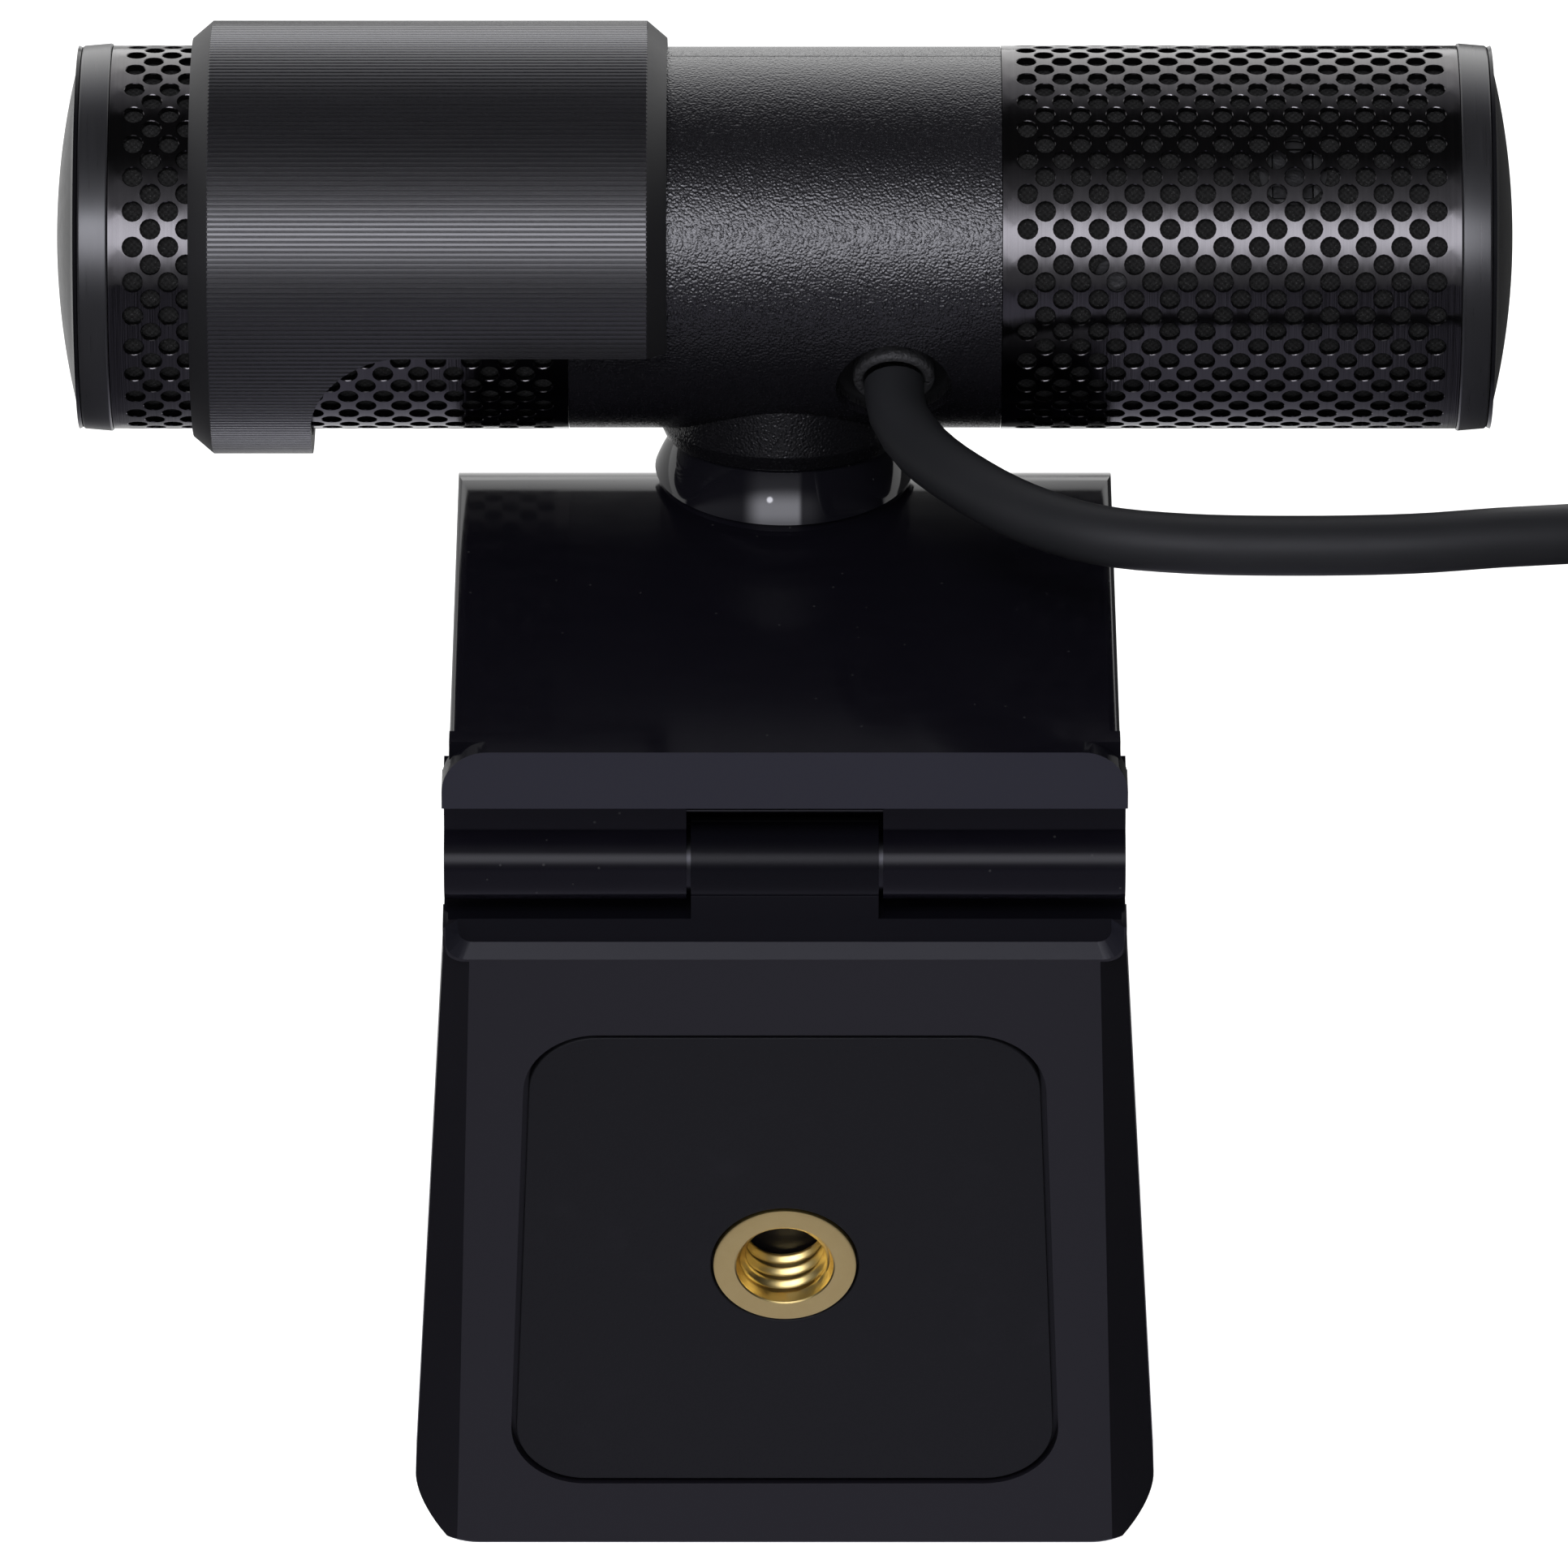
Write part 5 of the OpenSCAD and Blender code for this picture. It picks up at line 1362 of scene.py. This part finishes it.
# %% Bracket, leg and pads
for node, name, finish, slot, body, width, shape in (
        ("top_bracket", "bracket_plate", plate_black, "piano_black", "bracket", 0.15,
         shape_bracket),
        ("leg_shell", "leg_panel", clip_black, "clip_black", "leg", 0.12, shape_leg),
        ("leg_inner_cover", "leg_cover", cover_black, "cover_black", "leg", 0.2, None),
        ("leg_grip_pad", "grip_pad", pad_rubber, "pad_rubber", "leg", 0.2, None),
        ("tripod_pad", "rear_pad", pad_rubber, "pad_rubber", "leg", 0.1, None),
        ("rest_pad", "monitor_pad", pad_rubber, "pad_rubber", "bracket", 0.2, None),
        ("lip_pad", "lip_wedge", pad_rubber, "pad_rubber", "bracket", 0.2, None)):
    piece = done(refined(node, width, name, shape), finish, body, slot, node)
    if name == "bracket_plate":
        # Painted light: the flange's rear face gets a lighter, bluish satin copy of the black, for
        # the light that it catches.
        second_material(piece, flange_black, Matrix(),
                      lambda p: p.y < REAR_Y + 0.2 and -1.1 < p.z < PLATE_TOP)
        # Painted shade: the plate's corners behind the flange's rounded corners get the darker
        # black, which hides their reflection.
        second_material(piece, bay_black, Matrix(),
                      lambda p: REAR_Y + 0.2 < p.y < REAR_Y + 3.1 and
                      abs(p.x) > FLANGE_HALF - FLANGE_CORNER and 0.1 < p.z < PLATE_TOP - 0.01)
    if name == "leg_panel":
        # Painted light: the sloping rim round the bay gets a lighter copy of the satin black.
        second_material(piece, rim_black, LEG,
                      lambda p: -BAY_END < p.z and LEG_BACK + 0.05 < p.y < LEG_BACK + BAY_DEPTH)
        # Painted shade: the middle knuckle and the bay's floor get a darker black, for the shade
        # in the recess.
        second_material(piece, bay_black, LEG,
                      lambda p: p.z > -BAY_TOP or (p.z > -BAY_END + BAY_DEPTH and
                                                   abs(p.y - LEG_BACK - BAY_DEPTH) < 0.03))

# %% [markdown]
# ## Brass thread insert
# A 1/4-20 insert has a flat flange, a countersunk mouth and a real helical thread. The thread's
# wall is one sheared grid: each row of vertices climbs by one pitch per turn, so the ridge lies
# exactly on the rows, and the ends are clamped to the bore's ends.

# %% Insert
THREAD_R, THREAD_DEPTH, THREAD_PITCH = 2.6, 0.42, 1.27
INSERT_T, FLANGE_R, BODY_R = 4.5, 4.85, 4.1
THREAD_SIDES, ROWS_PER_TURN = 96, 16
FACE = LEG @ Matrix.Translation((0, LEG_BACK * MM, -INSERT_DOWN))
mouth = 0.62
body_outline = [(mouth, THREAD_R + THREAD_DEPTH)] + [
    Vector(p) for p in ((0.06, 3.28), (0.0, 3.38), (0.0, FLANGE_R - 0.2), (0.05, FLANGE_R - 0.06),
                        (0.2, FLANGE_R), (0.8, FLANGE_R), (0.8, BODY_R), (1.9, BODY_R),
                        (2.1, BODY_R - 0.4), (2.5, BODY_R - 0.4), (2.7, BODY_R),
                        (INSERT_T, BODY_R), (INSERT_T, THREAD_R + THREAD_DEPTH))]


def thread_radius(y, angle):
    phase = (y / THREAD_PITCH - angle / math.tau) % 1.0
    ridge = max(0.0, min(1.0, 1.15 - abs(phase - 0.5) * 3.2))
    return THREAD_R + THREAD_DEPTH * (1 - ridge)


def insert_mesh():
    bm = bmesh.new()

    def vertex(y, r, a):
        return bm.verts.new(FACE @ Vector((r * MM * math.cos(a), y * MM, r * MM * math.sin(a))))

    skin(bm, [[vertex(y, r, a) for a in turns(THREAD_SIDES)] for y, r in body_outline])
    count = int((INSERT_T - mouth) / THREAD_PITCH * ROWS_PER_TURN) + 2 * ROWS_PER_TURN
    grid = []
    for i in range(count):
        row = []
        for k in range(THREAD_SIDES + 1):
            a = math.tau * k / THREAD_SIDES
            y = mouth + THREAD_PITCH * ((i - ROWS_PER_TURN) / ROWS_PER_TURN + a / math.tau)
            y = min(max(y, mouth), INSERT_T)
            edge = min(1.0, (y - mouth) / 0.25, (INSERT_T - y) / 0.25)
            r = THREAD_R + THREAD_DEPTH + (thread_radius(y, a) - THREAD_R - THREAD_DEPTH) * edge
            row.append(vertex(y, r, a))
        grid.append(row)
    for a, b in zip(grid, grid[1:]):
        for k in range(THREAD_SIDES):
            bm.faces.new((a[k], b[k], b[k + 1], a[k + 1]))
    bmesh.ops.remove_doubles(bm, verts=bm.verts, dist=1e-6)
    bmesh.ops.dissolve_degenerate(bm, edges=bm.edges, dist=1e-6)
    return from_bmesh("threaded_insert", bm, 30.0)


done(insert_mesh(), brass, "leg", "brass", "thread_insert")

# %% [markdown]
# ## Lens side
# The lens looks out of the front through a flush black window. Behind the clear middle of the
# window sit a stepped barrel, a coated front glass and a ring of fine baffle grooves, which
# keep stray light out of a real lens.

# %% Lens stack
WINDOW_FRONT = math.sqrt(TUBE_R ** 2 - WINDOW_R ** 2) - 0.2
WINDOW_BACK = WINDOW_FRONT - 0.8
BEZEL_BACK = WINDOW_BACK - 1
BOSS_BACK = BEZEL_BACK - 1.7
BARREL_R, LENS_R = 4.6, 3.5
pane = lathe("window_pane", filleted([
    (WINDOW_BACK, 0, 0), (WINDOW_BACK, WINDOW_R - 0.02, 0.05),
    (WINDOW_FRONT, WINDOW_R - 0.02, 0.12), (WINDOW_FRONT, 0, 0)]), axis="Y", segments=128)
done(pane, window_black, "head", "window_black", "lens_window")
ring = lathe("window_ring", filleted([
    (BEZEL_BACK, 5.12, 0), (BEZEL_BACK, WINDOW_R - 0.02, 0.05),
    (WINDOW_BACK - 0.02, WINDOW_R - 0.02, 0.05), (WINDOW_BACK - 0.02, 5.3, 0.1),
    (WINDOW_BACK - 0.25, 5.12, 0.05)]),
    axis="Y", segments=128)
done(ring, cap_black, "head", "head_black", "lens_bezel")
grooves = []
for k in range(5):
    r = LENS_R + 0.12 + 0.11 * k
    y = BOSS_BACK + 1.55 + 0.09 * k
    grooves += [(y, r), (y, r + 0.06), (y - 0.05, r + 0.06), (y - 0.05, r + 0.11)]
barrel_outline = [(-0.2, 2.5), (-0.2, BARREL_R + 0.5), (BOSS_BACK - 1.1, BARREL_R + 0.5),
                  (BOSS_BACK - 1.1, WINDOW_R + 0.2), (BOSS_BACK, WINDOW_R + 0.2),
                  (BOSS_BACK, BARREL_R), (BEZEL_BACK + 0.7, BARREL_R),
                  (BEZEL_BACK + 0.78, BARREL_R - 0.1), (BEZEL_BACK + 0.78, LENS_R + 0.75)]
barrel_outline += grooves[::-1] + [(BOSS_BACK + 1.4, LENS_R), (BOSS_BACK, LENS_R),
                                   (BOSS_BACK, 2.5)]
done(lathe("lens_tube", barrel_outline, axis="Y", segments=96), cap_black, "head",
     "head_black", "lens_barrel")
glass_r = 7.0
glass_top = BEZEL_BACK + 0.6
bulge = [(glass_top - glass_r + math.sqrt(glass_r ** 2 - r * r), r)
         for r in ((LENS_R - 0.02) * k / 12 for k in range(13))]
done(lathe("front_glass", bulge + [(BOSS_BACK + 0.02, LENS_R - 0.02), (BOSS_BACK + 0.02, 0)],
           axis="Y", segments=96), lens_coating, "head", "lens_glass", "lens_glass")

# %% [markdown]
# ## Screws
# Small screws repeat, so one recipe places them. A set's screw is turned once: a pan head with
# a rounded edge and a threaded shank. Its cross recess is cut by a boolean, then the recipe
# puts a copy at each point, tipped to face out and turned by an angle of its own, because
# nobody tightens two screws to the same angle.

# %% Screw recipe
def screw(name, head_r, head_t, shank_r, length):
    """A pan-head screw along +Z in mm: the head's underside at 0, the shank below."""
    outline = [(-length, 0), (-length, shank_r * 0.7)]
    for k in range(int(length / 0.4)):
        low = -length + 0.1 + k * 0.4
        outline += [(low, shank_r * 0.84), (low + 0.2, shank_r)]
    outline += [(0, shank_r * 0.84), (0, head_r - 0.05), (0.05, head_r),
                (head_t * 0.45, head_r), (head_t * 0.8, head_r * 0.86),
                (head_t, head_r * 0.55), (head_t, 0)]
    made = lathe(name, outline, place=Matrix(), axis="Z", segments=32)
    for turned_by in (0, math.pi / 2):
        boolean(made, block("slot", (-head_r * 0.58, -head_r * 0.13, head_t * 0.35),
                            (head_r * 0.58, head_r * 0.13, head_t * 2),
                            Matrix.Rotation(turned_by, 4, "Z")))
    return made


placed = Recipe("placed_screws", Screw="Object", Turn="Float", Seed="Int", Metal="Material")
g = placed.given
one = placed.node("GeometryNodeObjectInfo", {}, {"Object": g["Screw"]}, "Geometry")
angle = placed.node("FunctionNodeRandomValue", {"data_type": "FLOAT"}, {
    2: 0.0, 3: 3.14, "Seed": g["Seed"]}, 1)
about = placed.node("FunctionNodeAxisAngleToRotation", {}, {"Axis": (0.0, 0.0, 1.0),
                                                            "Angle": angle})
tilt = placed.node("FunctionNodeAxisAngleToRotation", {}, {"Axis": (1.0, 0.0, 0.0),
                                                           "Angle": g["Turn"]})
both = placed.node("FunctionNodeRotateRotation", {"rotation_space": "LOCAL"},
                   {"Rotation": tilt, "Rotate By": about})
copies = placed.node("GeometryNodeInstanceOnPoints", {}, {
    "Points": g["Geometry"], "Instance": one, "Rotation": both})
placed.serve(copies, g["Metal"])


def screws(name, node, one_screw, points, turn, body, seed):
    mesh = bpy.data.meshes.new(name)
    mesh.from_pydata([p * MM for p in points], [], [])
    made = placed.cook(new_object(name, mesh), Screw=one_screw, Turn=turn, Seed=seed,
                       Metal=steel)
    bpy.data.objects.remove(one_screw)
    done(smoothed(made), steel, body, "steel", node)


LEG_SCREWS, LEG_SCREW_Y = ((18.05, -10.9), (19.85, -53.4)), 2.4
BOARD_SCREW_Y, BOARD_HEAD_R, DOME_HEAD_R = -4.2, 1.05, 1.25
leg_points = [(LEG @ (Vector((side * x, LEG_SCREW_Y, z)) * MM)) / MM for side in (-1, 1)
              for x, z in LEG_SCREWS]
screws("leg_cross_screws", "leg_screws", screw("one_leg_screw", 1.35, 0.5, 0.72, 3.0),
       leg_points, math.radians(-90) + LEG_LEAN, "leg", 3)
local = [HEAD.inverted() @ v.co for v in frame["nodes"]["board_screws"].data.vertices]
span_x, span_z = (max(v[axis] for v in local) / MM - BOARD_HEAD_R for axis in (0, 2))
board_points = [(HEAD @ (Vector((sx * span_x, BOARD_SCREW_Y, sz * span_z)) * MM)) / MM
                for sx in (-1, 1) for sz in (-1, 1)]
screws("board_cross_screws", "board_screws",
       screw("one_board_screw", BOARD_HEAD_R, 0.6, 0.83, 1.0),
       board_points, math.radians(-90) - pitch, "head", 5)
low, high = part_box("dome_screws")
reach = (high.x - low.x) / (2 * MM) - DOME_HEAD_R
centre = ball_centre / MM
dome_points = [Vector((centre.x + reach * math.cos(a), centre.y + reach * math.sin(a),
                       low.z / MM + 0.5)) for a in (math.pi, -math.pi / 2, 0)]
screws("dome_cross_screws", "dome_screws", screw("one_dome_screw", 1.2, 0.48, 0.64, 2.3),
       dome_points, math.pi, "bracket", 7)

# %% [markdown]
# ## Parts inside
# The boards, springs, pins and microphones are hidden or half hidden, and so is the plug's
# tongue. Their CAD solids keep their meshes and take a finish of their own.

# %% Finishes for the CAD nodes that stay
for node, finish in (("hinge_pin", steel), ("hinge_washers", dark_steel),
                     ("chassis", chassis_black),
                     ("sensor_board", board_green), ("main_board", board_green),
                     ("microphones", grommet_black), ("status_led", white_plastic),
                     ("clamp_screw", steel), ("clamp_springs", steel),
                     ("clamp_washer", white_plastic), ("usb_tongue", white_plastic)):
    node_mesh = frame["nodes"][node].data
    node_mesh.materials.clear()
    node_mesh.materials.append(finish)
print("CAD nodes painted")

# %% [markdown]
# ## Plug and tie
# The cable ends in a moulded USB plug. Its grip has rounded corners, a waist of finger ridges
# on both sides and a ribbed strain relief, which a real plug needs where the cable enters. The
# steel shell is a folded box with two latch windows, and the tongue inside carries four
# contacts. The coil is held by a strap of hook tape with a stitched end.

# %% Plug grip and strain relief
def standing(node):
    """A frame at the middle of the bottom of a node's box."""
    low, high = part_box(node)
    return Matrix.Translation(((low.x + high.x) / 2, (low.y + high.y) / 2, low.z))


PLUG, SHELL = standing("usb_overmould"), standing("usb_shell")
GRIP_LEN, GRIP_W, GRIP_D = 17.0, 15.6, 8.2
NECK_LEN = 4.0


def rounded_section(w, d, r, steps=6):
    corners = [(w / 2, d / 2, r), (w / 2, -d / 2, r), (-w / 2, -d / 2, r), (-w / 2, d / 2, r)]
    return filleted(corners, steps)


def stacked(bm, sections, place):
    """Rings of vertices from (height, outline) sections in mm."""
    return [[bm.verts.new(place @ Vector((x * MM, y * MM, h * MM))) for x, y in outline]
            for h, outline in sections]


def plug_grip():
    bm = bmesh.new()
    sections = []
    for h in [0, 0.25, 0.7, 2.5] + [3.5 + 0.25 * k for k in range(37)] + [14, 16.3, 16.8, 17.0]:
        end = min(h, GRIP_LEN - h)
        inset = 0.7 - 0.7 * math.sqrt(max(0.0, 1 - (1 - min(end, 0.7) / 0.7) ** 2))
        waist = 0.0
        if 3.4 < h < 12.6:
            waist = 0.35 * max(0.0, math.sin((h - 3.5) / 1.5 * math.tau)) + 0.25
        sections.append((h, rounded_section(GRIP_W - 2 * inset - 2 * waist,
                                            GRIP_D - 2 * inset, 2.0)))
    relief = []
    for k in range(33):
        h = GRIP_LEN - 0.2 + (NECK_LEN + 0.2) * k / 32
        taper = 3.15 - 0.8 * (k / 32)
        shaded_groove = 0.32 if (k % 8) in (3, 4, 5) else 0.0
        relief.append((h, [Vector(((taper - shaded_groove) * math.cos(a), (taper - shaded_groove) * math.sin(a)))
                           for a in (-math.tau * j / 32 for j in range(32))]))
    for rings in (stacked(bm, sections, PLUG), stacked(bm, relief, PLUG)):
        skin(bm, rings)
        close_ends(bm, rings)
    return from_bmesh("plug_grip", bm, 40.0)


plug = done(plug_grip(), plug_black, "head", "cable_black", "usb_overmould")

# %% Plug shell, tongue and strap
USB_W, USB_H, USB_LEN = 12.0, 4.5, 12.0


def plug_shell():
    outer = rounded_section(USB_W, USB_H, 0.5, 4)
    inner = rounded_section(USB_W - 0.7, USB_H - 0.7, 0.25, 4)
    bm = bmesh.new()
    skin(bm, stacked(bm, ((USB_LEN, outer), (0.12, outer), (0.0, inner), (USB_LEN, inner)),
                     SHELL), wrap=True)
    made = from_bmesh("plug_shell", bm, 30.0)
    for x in (-2.9, 2.9):
        boolean(made, block("latch", (x - 1.15, -4, 5.0), (x + 1.15, 4, 7.4), SHELL))
    return break_edges(made, 0.06)


done(plug_shell(), plug_steel, "head", "plug_steel", "usb_shell")
tongue_low, tongue_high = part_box("usb_tongue")
CONTACT_W, CONTACT_T = 1.0, 0.12
contact_bm = bmesh.new()
for x, length in ((-3.5, 7.4), (-1.0, 6.4), (1.0, 6.4), (3.5, 7.4)):
    low = Vector(((tongue_low.x + tongue_high.x) / 2 + (x - CONTACT_W / 2) * MM,
                  tongue_high.y - 0.02 * MM, tongue_low.z + 1.2 * MM))
    for v in bmesh.ops.create_cube(contact_bm, size=1.0)["verts"]:
        v.co = low + Vector([(c + 0.5) * side * MM for c, side in
                             zip(v.co, (CONTACT_W, CONTACT_T, length))])
contacts = done(break_edges(from_bmesh("plug_contacts", contact_bm), 0.03), brass, "head",
                "brass")
strap = done(refined("cable_tie", 0.25, "coil_strap"), felt_black, "head", "cable_black",
             "cable_tie")

# %% Cable
done(cable, cable_black, "head", "cable_black", "cable_lead", "cable_coil", "cable_tail")
curved_length(route)
